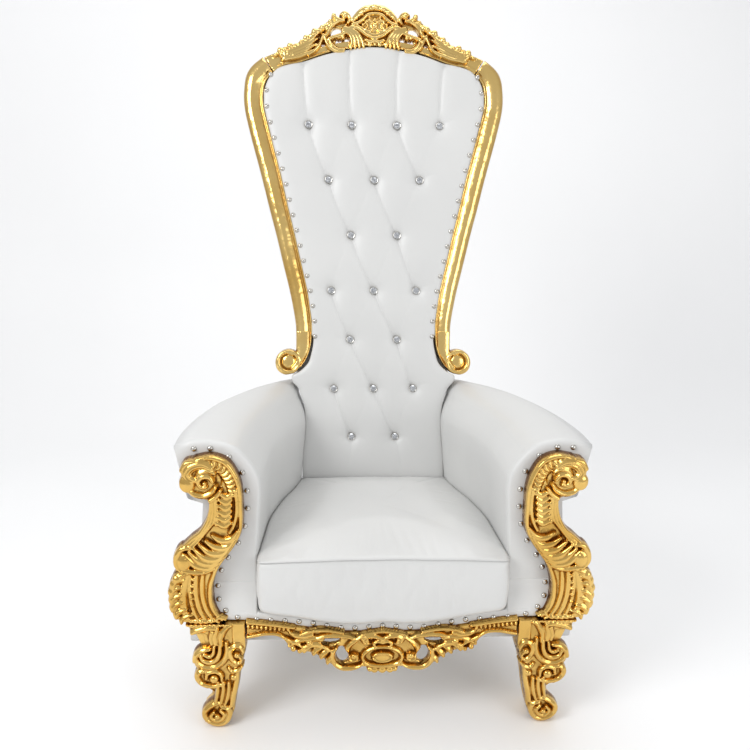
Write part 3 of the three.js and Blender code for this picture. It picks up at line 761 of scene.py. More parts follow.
def mould(profile: Sequence[Point]) -> Callable[[Array], Array]:
    """Height across a moulding, read off (place from -1 to 1, height) points with rounded turns."""
    p = np.array(profile, float)
    dense = smooth_line([tuple(q) for q in p], 200)
    order = np.argsort(dense[:, 0])
    return lambda across: np.interp(across, dense[order, 0], dense[order, 1])


STILE_MOULD = ((-1, -8), (-0.95, -2.6), (-0.87, -0.8), (-0.78, -2.6), (-0.7, -6.8), (-0.6, -6.2), (-0.42, -3.2),
               (-0.1, -0.4), (0.22, 0.8), (0.5, -0.8), (0.76, -4.4), (0.92, -9), (1, -14))


@dataclass
class Back:
    """The back: crest rail, stiles, buttoned pad, board and buttons, drawn in the plane of the back."""

    place: Placing
    finishes: Finishes
    stile: Sequence[Point] = (
        (280, 1181, 23), (297, 1173, 25.6), (328, 1142, 29), (338, 1104, 28), (338, 1058, 27.5), (323, 990, 28),
        (293, 874, 28), (272, 783, 27), (253, 706, 26.5), (235, 626, 26), (216, 543, 25.5), (203, 460, 24),
        (202, 415, 23), (206, 374, 20), (218, 340, 14), (238, 318, 10),
    )
    crest: Sequence[Point] = (
        (312, 1160, 27), (262, 1186, 21), (226, 1189, 17), (178, 1200, 12), (134, 1214, 11), (91, 1223, 11),
        (45, 1229, 11), (0, 1231, 11), (-45, 1229, 11),
    )
    scroll: Point = (247, 341, 38)
    carving_depth: float = 21.0
    rail_depth: float = 45.0
    stile_back: float = 44.6
    scroll_depth: float = 44.0
    board_front: float = 45.6
    board_depth: float = 26.6
    pad_face: float = -7.0
    pad_back: float = 44.0
    rim_dip: float = 6.0
    tuft_depth: float = 15.0
    fold_depth: float = 11.0
    deepest: float = 19.0
    button_radius: float = 11.5
    button_back: float = 5.0
    rows: Sequence[tuple[float, Sequence[float]]] = (
        (1010, (64, 186)), (859, (0, 130)), (704, (66,)), (547, (0, 123)), (406, (68,)), (263, (0, 116)),
        (121, (64,)),
    )
    edge: Sequence[Point] = (
        (-172, 211), (-60, 211), (60, 208), (121, 202), (177, 200), (213, 204), (240, 212), (263, 219), (283, 236),
        (301, 238), (313, 216), (335, 193), (360, 183), (406, 175), (476, 178), (547, 189), (625, 205), (704, 222),
        (782, 240), (859, 258), (935, 276), (1010, 294), (1062, 308), (1096, 309), (1124, 301), (1147, 281),
        (1159, 257), (1174, 192), (1192, 134), (1206, 66),
    )

    def crest_rail(self) -> None:
        """Carves the crest rail."""
        r = Relief((-312, 1120), (312, 1345), 1.0, mirrored=True)
        r.plate([(-1, 1225), (60, 1224), (112, 1214), (160, 1201), (215, 1188), (262, 1178), (285, 1178),
                 (280, 1190), (262, 1204), (238, 1215), (214, 1222), (190, 1237), (165, 1255), (140, 1271),
                 (120, 1287), (104, 1295), (84, 1301), (72, 1294), (60, 1292), (-1, 1300)], -5)
        r.plate([(-2, 1222), (30, 1222), (40, 1240), (60, 1262), (74, 1276), (66, 1292), (52, 1308), (36, 1324),
                 (-2, 1328)], -2.5)
        for hole in ((105, 1256, 17, 16, -25), (86, 1231, 24, 15, 0), (142, 1217, 15, 12, 0)):
            r.pierce(*hole)
        r.stroke(self.crest, 0, 0, profile=mould(((-1, -6), (-0.8, 0.5), (-0.45, -2.5), (0, -2.5), (0.5, -1),
                                                  (0.85, 0.5), (1, -6))))
        self.cartouche(r)
        self.crest_wing(r)
        r.stroke([(312, 1160, 27), (285, 1177, 23.5), (266, 1185, 21), (248, 1188, 15)], 0, 0,
                 profile=mould(STILE_MOULD))
        r.softened()
        joint = (self.stile[1], self.stile[2], self.crest[1])
        slope = math.atan2(joint[1][1] - joint[2][1], joint[1][0] - joint[2][0])
        past = (r.x - joint[0][0]) * math.cos(slope) + (r.z - joint[0][1]) * math.sin(slope)
        r.inside = np.minimum(r.inside, -past)
        solid = r.solid(depth=self.carving_depth, ease=3, front=14)
        band = Relief((-312, 1120), (312, 1345), 1.0, mirrored=True)
        band.stroke([(x, z, w * 0.9) for x, z, w in self.crest], -8, 0)
        band.inside = np.minimum(band.inside, -past)
        behind = band.solid(depth=self.rail_depth, ease=3, front=14)
        front = np.full(behind.value.shape, OUTSIDE, np.float32)
        front[:, : len(solid.ys), :] = solid.value
        merged = Solid(behind.xs, behind.ys, behind.zs, np.maximum(front, behind.value), r)
        dress(merged.mesh("crest_carving", self.place.leaned), self.finishes.gilding, Slot.GILT, "crest_rail")

    def cartouche(self, r: Relief) -> None:
        """Draws the crowned shield in the middle of the crest.

        Args:
            r: the panel it is carved in.
        """
        r.bead(0, 1277, 36, -3, 8, 0.8)
        r.stroke([(0, 1326, 9), (20, 1324, 10), (37, 1315, 10), (51, 1302, 9), (61, 1291, 7)], -1, 9)
        r.beads([(0, 1327, 8), (20, 1321, 8), (36, 1309, 7), (50, 1296, 5)], 2, 9)
        r.stroke([(0, 1309, 4.5), (20, 1305, 5), (34, 1292, 5), (46, 1284, 5), (62, 1279, 5)], 3, 8)
        r.stroke([(68, 1272, 4.5), (51, 1270, 5), (36, 1260, 5), (22, 1250, 5), (8, 1245, 5), (0, 1244, 5)], 3,
                 8)
        r.stroke([(50, 1277, 3.2), (36, 1270, 3.8), (25, 1261, 3.8), (12, 1255, 3.8), (0, 1253, 3.8)], 2, 6)
        r.bead(0, 1276, 9, 5, 7)
        for x, z, hand in ((17, 1284, 1), (17, 1267, -1)):
            r.stroke([(x - 10, z + 2 * hand, 3.5), (x, z + 6 * hand, 4.4), (x + 9, z + 1 * hand, 4),
                      (x + 4, z - 5 * hand, 3.5)], 3, 7)
        r.beads([(0, 1294, 5), (14, 1298, 4), (33, 1279, 4.5)], 3, 6)
        r.stroke([(0, 1238, 4.5), (12, 1234, 5.5), (25, 1238, 5)], 2, 8)
        r.beads([(14, 1226, 8), (0, 1227, 6), (27, 1227, 5.5)], 0, 9)

    @staticmethod
    def reeds(r: Relief, near: Sequence[Point], far: Sequence[Point], count: int, widths: Sequence[float],
              crown: float = 8.0) -> None:
        """Carves reeds side by side between two lines.

        Args:
            r: the relief.
            near, far: the first and the last reed's (x, z) points.
            count: how many reeds.
            widths: their half widths at each point.
            crown: how far their middles stand out.
        """
        for k in range(count):
            t = k / (count - 1)
            line = [(a[0] + (b[0] - a[0]) * t, a[1] + (b[1] - a[1]) * t, w) for a, b, w in zip(near, far, widths)]
            r.stroke(line, 1, crown)

    def crest_wing(self, r: Relief) -> None:
        """Draws the scrolls, knobs and leaves that run from the shield down to the joint.

        Args:
            r: the panel it is carved in.
        """
        self.reeds(r, ((86, 1272), (64, 1266), (46, 1254), (36, 1237), (31, 1218)),
                   ((91, 1262), (78, 1257), (68, 1246), (64, 1232), (67, 1215)), 4, (3.6, 4.2, 4.9, 5.3, 5.3), 10)
        self.reeds(r, ((140, 1248), (135, 1230), (125, 1216), (108, 1206), (86, 1207)),
                   ((128, 1241), (123, 1229), (114, 1218), (102, 1212), (84, 1213)), 2, (4.2, 5.2, 5.6, 4.8, 4), 10)
        r.stroke([(130, 1236, 5), (120, 1243, 6), (108, 1247, 6), (97, 1251, 5.5), (86, 1255, 5.5),
                  (77, 1258, 5)], 1, 9)
        r.bead(89, 1244, 7, 1, 10)
        r.bead(100, 1243, 5, 1, 8)
        r.stroke([(144, 1251, 4.5), (148, 1237, 5), (156, 1221, 5.5), (168, 1208, 5), (184, 1197, 4)], 2, 9)
        r.leaf([(92, 1290, 6), (104, 1287, 7), (116, 1281, 8), (126, 1269, 8), (132, 1256, 7), (138, 1246, 6)],
               0, 9)
        r.bead(84, 1302, 9, 1, 11)
        r.stroke([(75, 1283, 5), (70, 1294, 6), (75, 1306, 5.5), (86, 1311, 5), (95, 1305, 4.5)], 0, 9)
        r.stroke([(86, 1289, 5), (97, 1290, 6.5), (107, 1295, 6.5), (115, 1301, 6)], 1, 9)
        r.bead(114, 1302, 8, 1, 11)
        self.reeds(r, ((157, 1254), (177, 1238), (201, 1222), (225, 1211), (248, 1203)),
                   ((166, 1210), (190, 1200), (214, 1191), (236, 1186), (257, 1182)), 4, (3.6, 5.6, 6, 5.4, 4), 10)
        r.stroke([(118, 1288, 7), (134, 1276, 8.5), (151, 1264, 9), (168, 1252, 9), (188, 1239, 8.5),
                  (206, 1227, 7.5)], -1, 9, ribs=12, rib_depth=3, lead=0.8)
        r.stroke([(206, 1226, 7.5), (222, 1219, 8), (242, 1212, 8), (262, 1203, 7), (280, 1193, 5)], -1, 9,
                 ribs=11, rib_depth=3, lead=0.8)
        r.beads([(124, 1286, 7.5), (146, 1269, 9), (167, 1258, 11), (191, 1241, 10), (204, 1231, 7),
                 (220, 1220, 7), (236, 1219, 10), (250, 1211, 7), (263, 1207, 10)], 1, 11)
        for k in range(4):
            a = math.radians(135 - k * 30)
            r.stroke([(246, 1182, 4), (246 + 13 * math.cos(a), 1182 + 12 * math.sin(a), 6.5),
                      (246 + 23 * math.cos(a), 1182 + 20 * math.sin(a), 6)], 2, 9, lift=1)
        r.beads([(232, 1191, 6), (276, 1194, 6)], 3, 8)

    def stiles(self) -> None:
        """Sweeps the moulded stiles and carves their scroll ends."""
        line = smooth_line(self.stile, 170)
        joint = np.array(self.stile[1][:2])
        slope = math.atan2(self.stile[2][1] - self.crest[1][1], self.stile[2][0] - self.crest[1][0])
        keep = (line[:, 0] - joint[0]) * math.cos(slope) + (line[:, 1] - joint[1]) * math.sin(slope) > 0.4
        line = line[keep]
        tangent = np.gradient(line[:, :2], axis=0)
        tangent /= np.linalg.norm(tangent, axis=1)[:, None]
        tangent[0] = (math.cos(slope), math.sin(slope))
        across = np.linspace(-1, 1, 49)
        height = mould(STILE_MOULD)(across)
        ring_x = np.concatenate([across, [1, 1, 0.8, -0.8, -1, -1]])
        ring_y = np.concatenate([-height, [20, 40, self.stile_back, self.stile_back, 40, 20]])
        x = line[:, 0:1] - tangent[:, 1:2] * line[:, 2:3] * ring_x
        z = line[:, 1:2] + tangent[:, 0:1] * line[:, 2:3] * ring_x
        y = np.broadcast_to(ring_y, x.shape)
        # painted shade: the gilding darkens towards the moulding's hollows and on the band's sides and back
        hollow = np.clip(-height / 12, 0, 1) * 0.35
        recess = np.concatenate([hollow, np.full(6, 0.5)])
        disc = self.scroll_end()
        for side in Side:
            faces = turned(closed_skin(*x.shape), side is Side.RIGHT)
            spots = drawn(self.place.leaned, x, y, z, side)
            band = make_object(f"stile_band_{side.label}", spots, faces, np.tile(recess, len(x)))
            dress(band, self.finishes.gilding, Slot.GILT, f"back_stile_{side.label}")
            end = disc.mesh(f"stile_scroll_{side.label}", self.place.leaned, side=side)
            dress(end, self.finishes.gilding, Slot.GILT)

    def scroll_end(self) -> Solid:
        """The scroll at the foot of the right stile.

        Returns:
            Its solid, set where it stands.
        """
        sx, sz, radius = self.scroll
        r = Relief((sx - 60, sz - 50), (sx + 48, sz + 90), 0.75)
        r.bead(sx, sz, radius - 1, -10, 0.1)
        r.stroke([(203, 430, 22), (203, 400, 21), (206, 374, 18), (213, 352, 12), (222, 330, 8), (238, 313, 6),
                  (258, 309, 6), (275, 320, 6), (280, 341, 6), (272, 360, 6), (254, 368, 5), (236, 362, 4.5)],
                 -6, 7)
        ring = [(sx + 30 * math.cos(a), sz + 30 * math.sin(a), 6.5) for a in np.linspace(0, 2 * math.pi, 25)]
        r.stroke(ring, -5, 8)
        r.bead(sx, sz, 21, -9, 8)
        r.sunk(sx, sz, 24, 24, 1.5)
        r.softened()
        return r.solid(depth=self.scroll_depth, ease=4, front=8)

    def buttons(self) -> list[tuple[float, float]]:
        """Every button's place, in the order of the solids."""
        out = []
        for z, xs in self.rows:
            out += sorted({(s * x, z) for x in xs for s in (-1, 1)})
        return out

    def pad_front(self, x: Array, z: Array, half: Array) -> Array:
        """How far behind the stiles' front the pad's face lies.

        Args:
            x, z: spots in the plane of the back, in millimetres.
            half: the pad's half width at each.

        Returns:
            Depths in millimetres.
        """
        places = self.buttons()
        y = np.full(x.shape, self.pad_face)
        rim = np.minimum(half - np.abs(x), (1229 - z - 0.00026 * x**2 * 1.9) * 0.9)
        y += self.rim_dip * np.exp(-np.clip(rim, 0, None) / 9)
        pull = np.zeros(x.shape)
        crease = np.zeros(x.shape)
        for bx, bz in places:
            d = np.hypot(x - bx, z - bz)
            pull = np.maximum(pull, self.tuft_depth * np.exp(-d / 21) + 3 * np.exp(-((d / 10) ** 2)))
            for cx, cz in places:
                across, up = cx - bx, cz - bz
                if 60 < up < 180 and abs(across) < 85:
                    strong = 1.0 if across < 0 else 0.1
                    crease = np.maximum(crease, strong * fold(x, z, (bx, bz), (cx, cz)))
            if bz > 1000:
                crease = np.maximum(crease, 0.75 * fold(x, z, (bx, bz), (bx * 1.08, 1235), fade=False))
            for a, reach, much in ((165, 55, 0.4), (200, 45, 0.35), (-15, 50, 0.35), (100, 40, 0.3), (250, 42, 0.3)):
                if abs(bx) > 100:
                    a = a if bx < 0 else 180 - a
                end = (bx + reach * math.cos(math.radians(a)), bz + reach * math.sin(math.radians(a)))
                crease = np.maximum(crease, much * fold(x, z, (bx, bz), end, taper=True))
            if bz < 200:
                crease = np.maximum(crease, 0.45 * fold(x, z, (bx, bz), (bx * 1.3, bz - 120), taper=True))
        return y + np.minimum(self.deepest, pull + self.fold_depth * crease)

    def pad(self) -> None:
        """Shapes the buttoned pad."""
        lo, hi = self.edge[0][0], self.edge[-1][0]
        zs = np.arange(lo, hi + 0.1, 3.6)
        dense = smooth_line([(z, h) for z, h in self.edge], 600)
        half_at = np.interp(zs, dense[:, 0], dense[:, 1]) - 1.0
        wood = np.array([(z, x - half) for x, z, half in reversed(self.stile[3:-3])])
        beside = np.interp(zs, wood[:, 0], wood[:, 1], left=0, right=0)
        half_at = np.clip(beside - 0.2, half_at, half_at + 6)
        share = np.linspace(-1, 1, 141)
        top = hi + (1216 - hi) * (1 - share**2)
        x = half_at[:, None] * share[None, :]
        z = np.repeat(zs[:, None], len(share), 1)
        lift = np.clip((z - 1120) / (hi - 1120), 0, 1) ** 2
        z = z + lift * (top - hi)[None, :] * 0.9 + 7.5 * np.clip((z - 1120) / 40, 0, 1)
        y = self.pad_front(x, z, np.repeat(half_at[:, None], len(share), 1))
        around = np.array([[1, 16], [1, self.pad_back], [-1, self.pad_back], [-1, 16]])
        x = np.concatenate([x, half_at[:, None] * around[None, :, 0]], 1)
        y = np.concatenate([y, np.repeat(around[None, :, 1], len(y), 0)], 1)
        z = np.concatenate([z, np.repeat(zs[:, None], 4, 1)], 1)
        piece = make_object("buttoned_pad", drawn(self.place.leaned, x, y, z), closed_skin(*x.shape))
        dress(piece, self.finishes.leather, Slot.LEATHER, "back_pad")

    def cover(self) -> None:
        """Stretches the leather over the board behind the pad, a little full in the middle."""
        r = Relief((-350, -172), (350, 1250), 2.0, mirrored=True)
        foot = [(half - 7, max(z, -166)) for z, half in self.edge if z < 300]
        side = [(x + half * 0.5, z) for x, z, half in reversed(self.stile[:-3])]
        top = [(x, z + half * 0.4) for x, z, half in self.crest[1:-1]]
        r.plate([(-1, -166), *foot, *side, *top, (-1, 1235)], 0)
        deep = np.clip(r.inside, 0, 60) / 60
        r.height = r.height - 5 * (1 - deep) ** 2 - 1 + 0.5 * np.sin(r.x / 37) * np.sin(r.z / 61)
        solid = r.solid(depth=self.board_depth, ease=6, front=10, cell=4)
        rear = (self.board_front + self.board_depth) * MM

        def spot(x: Array, y: Array, z: Array) -> Array:
            """The frame's point for one drawn from behind."""
            return self.place.leaned(-x, rear - y, z)

        dress(solid.mesh("back_cover", spot, keep=0.2), self.finishes.leather, Slot.LEATHER, "back_panel")

    def button_set(self) -> None:
        """Sets a cut crystal in a silver cup at each dimple."""
        for i, (x, z) in enumerate(self.buttons()):
            spots, faces = cut_crystal(self.button_radius)
            placed = drawn(self.place.leaned, spots[:, 0] + x, self.button_back - spots[:, 2], spots[:, 1] + z)
            piece = make_object(f"crystal_{i + 1:02d}", placed, faces)
            for polygon in piece.data.polygons:
                polygon.use_smooth = False
            dress(piece, self.finishes.crystal, Slot.CRYSTAL, f"button_{i + 1:02d}")
            piece.data.materials.append(self.finishes.nickel)
            for polygon in piece.data.polygons:
                polygon.material_index = 1 if polygon.index < CUP_FACES else 0


def fold(x: Array, z: Array, a: Point, b: Point, fade: bool = True, taper: bool = False) -> Array:
    """How deep a crease between two places is at each spot, 0 to 1.

    Args:
        x, z: the spots.
        a, b: the ends.
        fade: whether it is shallower in the middle.
        taper: whether it dies away towards b.

    Returns:
        Depths from 0 to 1.
    """
    dx, dz = b[0] - a[0], b[1] - a[1]
    t = np.clip(((x - a[0]) * dx + (z - a[1]) * dz) / (dx * dx + dz * dz), 0, 1)
    bow = 5 * np.sin(math.pi * t)
    n = math.hypot(dx, dz)
    px, pz = a[0] + t * dx - bow * dz / n, a[1] + t * dz + bow * dx / n
    d = np.hypot(x - px, z - pz)
    sharp = 0.6 * np.exp(-d / 3.6) + 0.4 * np.exp(-((d / 19) ** 2))
    if taper:
        return sharp * (1 - t) ** 1.2 * 0.8
    return sharp * (1 - 0.35 * np.sin(math.pi * t)) if fade else sharp


SETTLING_FRAMES = 20


def relax(piece: bpy.types.Object, held: Sequence[int], swell: float, cap: float) -> None:
    """Lets the leather of a filled piece find its own fullness and folds between the places where it is held.

    Args:
        piece: the piece, before it is fixed to the chair.
        held: corners that are sewn or nailed down.
        swell: how much wider the leather is cut than its filling.
        cap: how far a corner may move, in metres.
    """
    start = np.empty(len(piece.data.vertices) * 3)
    piece.data.vertices.foreach_get("co", start)
    group = piece.vertex_groups.new(name="held")
    group.add([int(k) for k in held], 1.0, "REPLACE")
    cloth = piece.modifiers.new("leather", "CLOTH")
    rules = cloth.settings
    rules.quality = 6
    rules.mass = 0.35
    rules.tension_stiffness = 30
    rules.compression_stiffness = 30
    rules.shear_stiffness = 12
    rules.bending_stiffness = 1.5
    rules.use_pressure = True
    rules.uniform_pressure_force = 4
    rules.effector_weights.gravity = 0
    rules.vertex_group_mass = "held"
    rules.shrink_min = -swell
    scene = bpy.context.scene
    for frame in range(1, SETTLING_FRAMES + 1):
        scene.frame_set(frame)
    shaped = piece.evaluated_get(bpy.context.evaluated_depsgraph_get())
    end = np.empty(len(start))
    shaped.data.vertices.foreach_get("co", end)
    move = (end - start).reshape(-1, 3)
    far = np.maximum(np.linalg.norm(move, axis=1), 1e-9)
    move *= np.minimum(1, cap / far)[:, None]
    LOG.info("%s settled, up to %.1f mm", piece.name, far.max() * 1000)
    piece.modifiers.remove(cloth)
    piece.vertex_groups.remove(group)
    piece.data.vertices.foreach_set("co", start + move.ravel())
    piece.data.update()
    scene.frame_set(1)


CUP_FACES = 48


def cut_crystal(radius: float) -> tuple[Array, list[Array]]:
    """A cut stone in a ring, facing +Z.

    Args:
        radius: the ring's outer radius in millimetres.

    Returns:
        Its corners and faces, the ring's faces first.
    """
    rings = [(radius * 0.7, -2.5), (radius, -2), (radius, 1), (radius * 0.94, 2.6), (radius * 0.84, 2.2)]
    n = 12
    points = [(r * math.cos(2 * math.pi * (k + 0.5) / n), r * math.sin(2 * math.pi * (k + 0.5) / n), h)
              for r, h in rings for k in range(n)]
    faces = [[i * n + k, i * n + (k + 1) % n, (i + 1) * n + (k + 1) % n, (i + 1) * n + k]
             for i in range(len(rings) - 1) for k in range(n)]
    base = (len(rings) - 1) * n
    start = len(points)
    crown = [(radius * 0.62, 5.0, 6, 0.0), (radius * 0.38, 7.2, 6, 0.5)]
    for r, h, m, shift in crown:
        points += [(r * math.cos(2 * math.pi * (k + shift) / m), r * math.sin(2 * math.pi * (k + shift) / m), h)
                   for k in range(m)]
    tris = []
    for k in range(6):
        outer = [base + (2 * k - 1) % n, base + 2 * k, base + (2 * k + 1) % n]
        mid, nxt = start + k, start + (k + 1) % 6
        tris += [[outer[0], outer[1], mid], [outer[1], nxt, mid], [outer[1], outer[2], nxt]]
        top, before = start + 6 + k, start + 6 + (k - 1) % 6
        tris += [[mid, nxt, top], [mid, top, before]]
    tris += [[start + 6, start + 6 + k, start + 7 + k] for k in range(1, 5)]
    tris += [[0, k + 1, k] for k in range(1, n - 1)]
    return np.array(points), [np.array(faces), np.array(tris)]


# ---------- Arms ----------

ARM_STATIONS = (
    ((300, 31), (490, 31), 1.0, 0.0), ((294, 130), (487, 140), 1.0, 0.0), ((286, 240), (463, 275), 1.0, 0.0),
    ((262, 350), (422, 412), 0.99, 0.2), ((232, 440), (366, 512), 0.975, 0.5), ((213, 515), (306, 574), 0.96, 0.85),
    ((213, 582), (252, 608), 0.953, 1.0),
)
ARM_SECTION = (
    (0, 0, 0), (0, 0, 0.33), (0, 6, 0.55), (0, 13, 0.74), (0.02, 10, 0.83), (0.12, 0, 0.92), (0.3, 0, 0.975),
    (0.56, 0, 1), (0.8, 0, 0.997), (0.93, 0, 0.98), (0.985, 0, 0.93), (1, 0, 0.87), (0.985, 0, 0.8), (0.92, 0, 0.742),
    (0.76, 0, 0.7), (0.6, 0, 0.68), (0.56, 0, 0.62), (0.61, 0, 0.54), (0.72, 0, 0.46), (0.83, 0, 0.36),
    (0.88, 0, 0.24), (0.88, 0, 0),
)
ARM_BASE = 270.4
ARM_TOP = 742.0
PLEATS = (
    (0.245, 0.05, 2.6), (0.275, 0.02, 2.2), (0.215, 0.03, 1.4), (0.405, -0.03, 2.6), (0.435, -0.015, 2.2),
    (0.465, -0.01, 1.6),
)


@dataclass
class Arm:
    """The two upholstered arms with their carved facings; places are drawn for the right-hand one."""

    place: Placing
    finishes: Finishes
    facing_depth: float = 29.0
    fall_depth: float = 32.5
    middle: Point = (392.0, 505.0)

    def skin(self) -> tuple[Array, Array, Array]:
        """The right arm's surface as a grid: along it from the front, and round its section.

        Returns:
            Its x, y and z in millimetres.
        """
        stations = np.array([[*i, *o, t, l] for i, o, t, l in ARM_STATIONS], float)
        line = smooth_line([tuple(s) for s in stations], 120)
        section = smooth_line([tuple(s) for s in ARM_SECTION], 150)
        share, swell, up = section[:, 0], np.clip(section[:, 1], 0, 14), np.clip(section[:, 2], 0, 1)
        z = ARM_BASE + up[None, :] * line[:, 4:5] * (ARM_TOP - ARM_BASE)
        x = line[:, 0:1] + (line[:, 2:3] - line[:, 0:1]) * share[None, :] - swell[None, :]
        y = line[:, 1:2] + (line[:, 3:4] - line[:, 1:2]) * share[None, :]
        y = y + line[:, 5:6] * math.tan(RECLINE) * (z - BACK_FOOT_Z * 1000)
        return x, y, z

    def upholstery(self) -> None:
        """Stretches the leather over both arms."""
        x, y, z = self.skin()
        rings_x, rings_y, rings_z = [], [], []
        for k, inset in enumerate((0.16, 0.10, 0.06, 0.035, 0.018, 0.007, 0.0)):
            away = np.where(z[0] < 290, 0, 1) * inset * 0.55
            rings_x.append(x[0] + (self.middle[0] - x[0]) * away)
            rings_z.append(z[0] + (self.middle[1] - z[0]) * away)
            rings_y.append(np.full(x.shape[1], 31 + 12 * (1 - math.cos(k / 6 * math.pi / 2))))
        y[2:8] = np.maximum(y[2:8], 43.5)
        x, y, z = (np.vstack([rings, old[2:]]) for rings, old in ((rings_x, x), (rings_y, y), (rings_z, z)))
        # pleats that fan back from the front corners of the roll, and slack along the underside of the roll
        turn = np.linspace(0, 1, x.shape[1])[None, :]
        ahead = np.clip((y - 31) / 200, 0, 1)
        for at, lean, strong in PLEATS:
            groove = np.exp(-(((turn - at - lean * ahead) / 0.0045) ** 2)) * np.clip(1 - ahead * 2.2, 0, 1)
            z = z - groove * strong
        last = (x.shape[0] - 1) * x.shape[1]
        faces = [ring_quads(*x.shape), flat_cap(x[0], z[0], 0, False), flat_cap(x[0], z[0], last, True)]
        for side in Side:
            spots = drawn(self.place.upright, x, y, z, side)
            piece = make_object(f"arm_leather_{side.label}", spots, turned(faces, side is Side.RIGHT))
            dress(piece, self.finishes.leather, Slot.LEATHER, f"arm_{side.label}")

    @staticmethod
    def front_at(z: Array) -> Array:
        """How far back the arm's front lies at each height: its leather runs forward to the nailed band."""
        t = np.clip((z - 298) / 76, 0, 1)
        return 31 - 17.5 * (1 - t * t * (3 - 2 * t))

    def fall(self) -> None:
        """Draws the leather of both arms' fronts forward to meet the nailed band."""
        r = Relief((296, 284), (424, 396), 1.0)
        r.plate([(302.5, 289), (373, 292), (388, 304), (404, 322), (414, 345), (416, 386), (302.5, 386)], 0)
        soft = 0.5 * np.sin(r.x / 9.0 + r.z / 60) * np.clip((340 - r.z) / 40, 0, 1)
        r.height = np.where(r.inside > -2, -self.front_at(r.z) + 0.6 + soft, r.height)
        solid = r.solid(depth=self.fall_depth, ease=2.5, front=2)
        for side in Side:
            piece = solid.mesh(f"arm_fall_{side.label}", self.place.upright, side=side)
            dress(piece, self.finishes.leather, Slot.LEATHER)

    def facing(self) -> None:
        """Carves the facings of both arms."""
        r = Relief((312, 284), (520, 728), 1.0)
        r.plate([(384, 299), (398, 315), (408, 340), (413, 365), (412, 390), (404, 418), (394, 440), (380, 464),
                 (364, 484), (348, 506), (338, 524), (330, 545), (327, 570), (326, 600), (328, 640), (337, 672),
                 (353, 698), (376, 713), (400, 717), (430, 712), (452, 698), (463, 674), (462, 648), (448, 626),
                 (425, 612), (400, 603), (401, 580), (405, 562), (418, 540), (438, 519), (459, 500), (476, 480),
                 (487, 460), (486, 440), (490, 425), (503, 402), (507, 380), (508, 358), (508, 338), (502, 318),
                 (490, 304), (470, 296)], -4)
        r.plate([(386, 640), (398, 625), (424, 614), (448, 628), (462, 650), (461, 676), (448, 697), (424, 709),
                 (400, 706), (384, 690)], 1)
        self.facing_head(r)
        self.facing_stem(r)
        self.facing_drop(r)
        r.softened()
        solid = r.solid(depth=self.facing_depth, ease=4, front=17)
        for side in Side:
            piece = solid.mesh(f"facing_carving_{side.label}", self.place.upright, side=side)
            dress(piece, self.finishes.antique, Slot.GILT, f"arm_facing_{side.label}")

    def facing_head(self, r: Relief) -> None:
        """Draws the curling head, with ribs inside a smooth rim, and the rim itself down to the leg.

        Args:
            r: the panel it is carved in.
        """
        r.stroke([(384, 300, 4.5), (399, 318, 6), (409, 345, 6.5), (409, 385, 6.5), (401, 415, 6),
                  (389, 442, 5.5), (369, 471, 5.5), (351, 497, 5.5), (338, 522, 5.5), (332, 550, 5.5),
                  (331.5, 600, 6), (333.5, 640, 6), (343, 671, 6.5), (359, 696, 6.5), (381, 708, 6.5),
                  (402, 711, 6), (425, 707, 5), (445, 697, 4)], -4, 9)
        r.stroke([(349, 622, 8), (352, 646, 11), (361, 670, 13), (376, 688, 13), (395, 697, 11), (414, 697, 8)],
                 -3, 9, ribs=11.5, rib_depth=5.5, lead=0.95)
        r.stroke([(392, 688, 7), (414, 697, 11), (437, 691, 13), (449, 674, 12), (438, 661, 9), (420, 660, 6)],
                 2, 10, flutes=2, rib_depth=2.6)
        r.stroke([(432, 704, 5), (449, 697, 8), (459, 682, 7)], 0, 9)
        r.bead(449, 650, 19, 0, 13, 1.2)
        r.leaf([(386, 676, 5), (400, 683, 8), (416, 678, 8), (424, 669, 6)], 3, 9)
        r.stroke([(390, 656, 5), (398, 668, 6.5), (414, 668, 7), (423, 656, 6), (417, 644, 5.5),
                  (406, 645, 4.5)], 5, 8)
        r.bead(409, 653, 5.5, 7, 6)
        r.leaf([(384, 644, 5), (394, 630, 7), (412, 621, 8), (432, 624, 8), (444, 634, 6)], 2, 9)
        r.stroke([(374, 634, 5), (384, 620, 6.5), (399, 609, 6)], 2, 8)
        r.sunk(379, 654, 9, 16, 4)

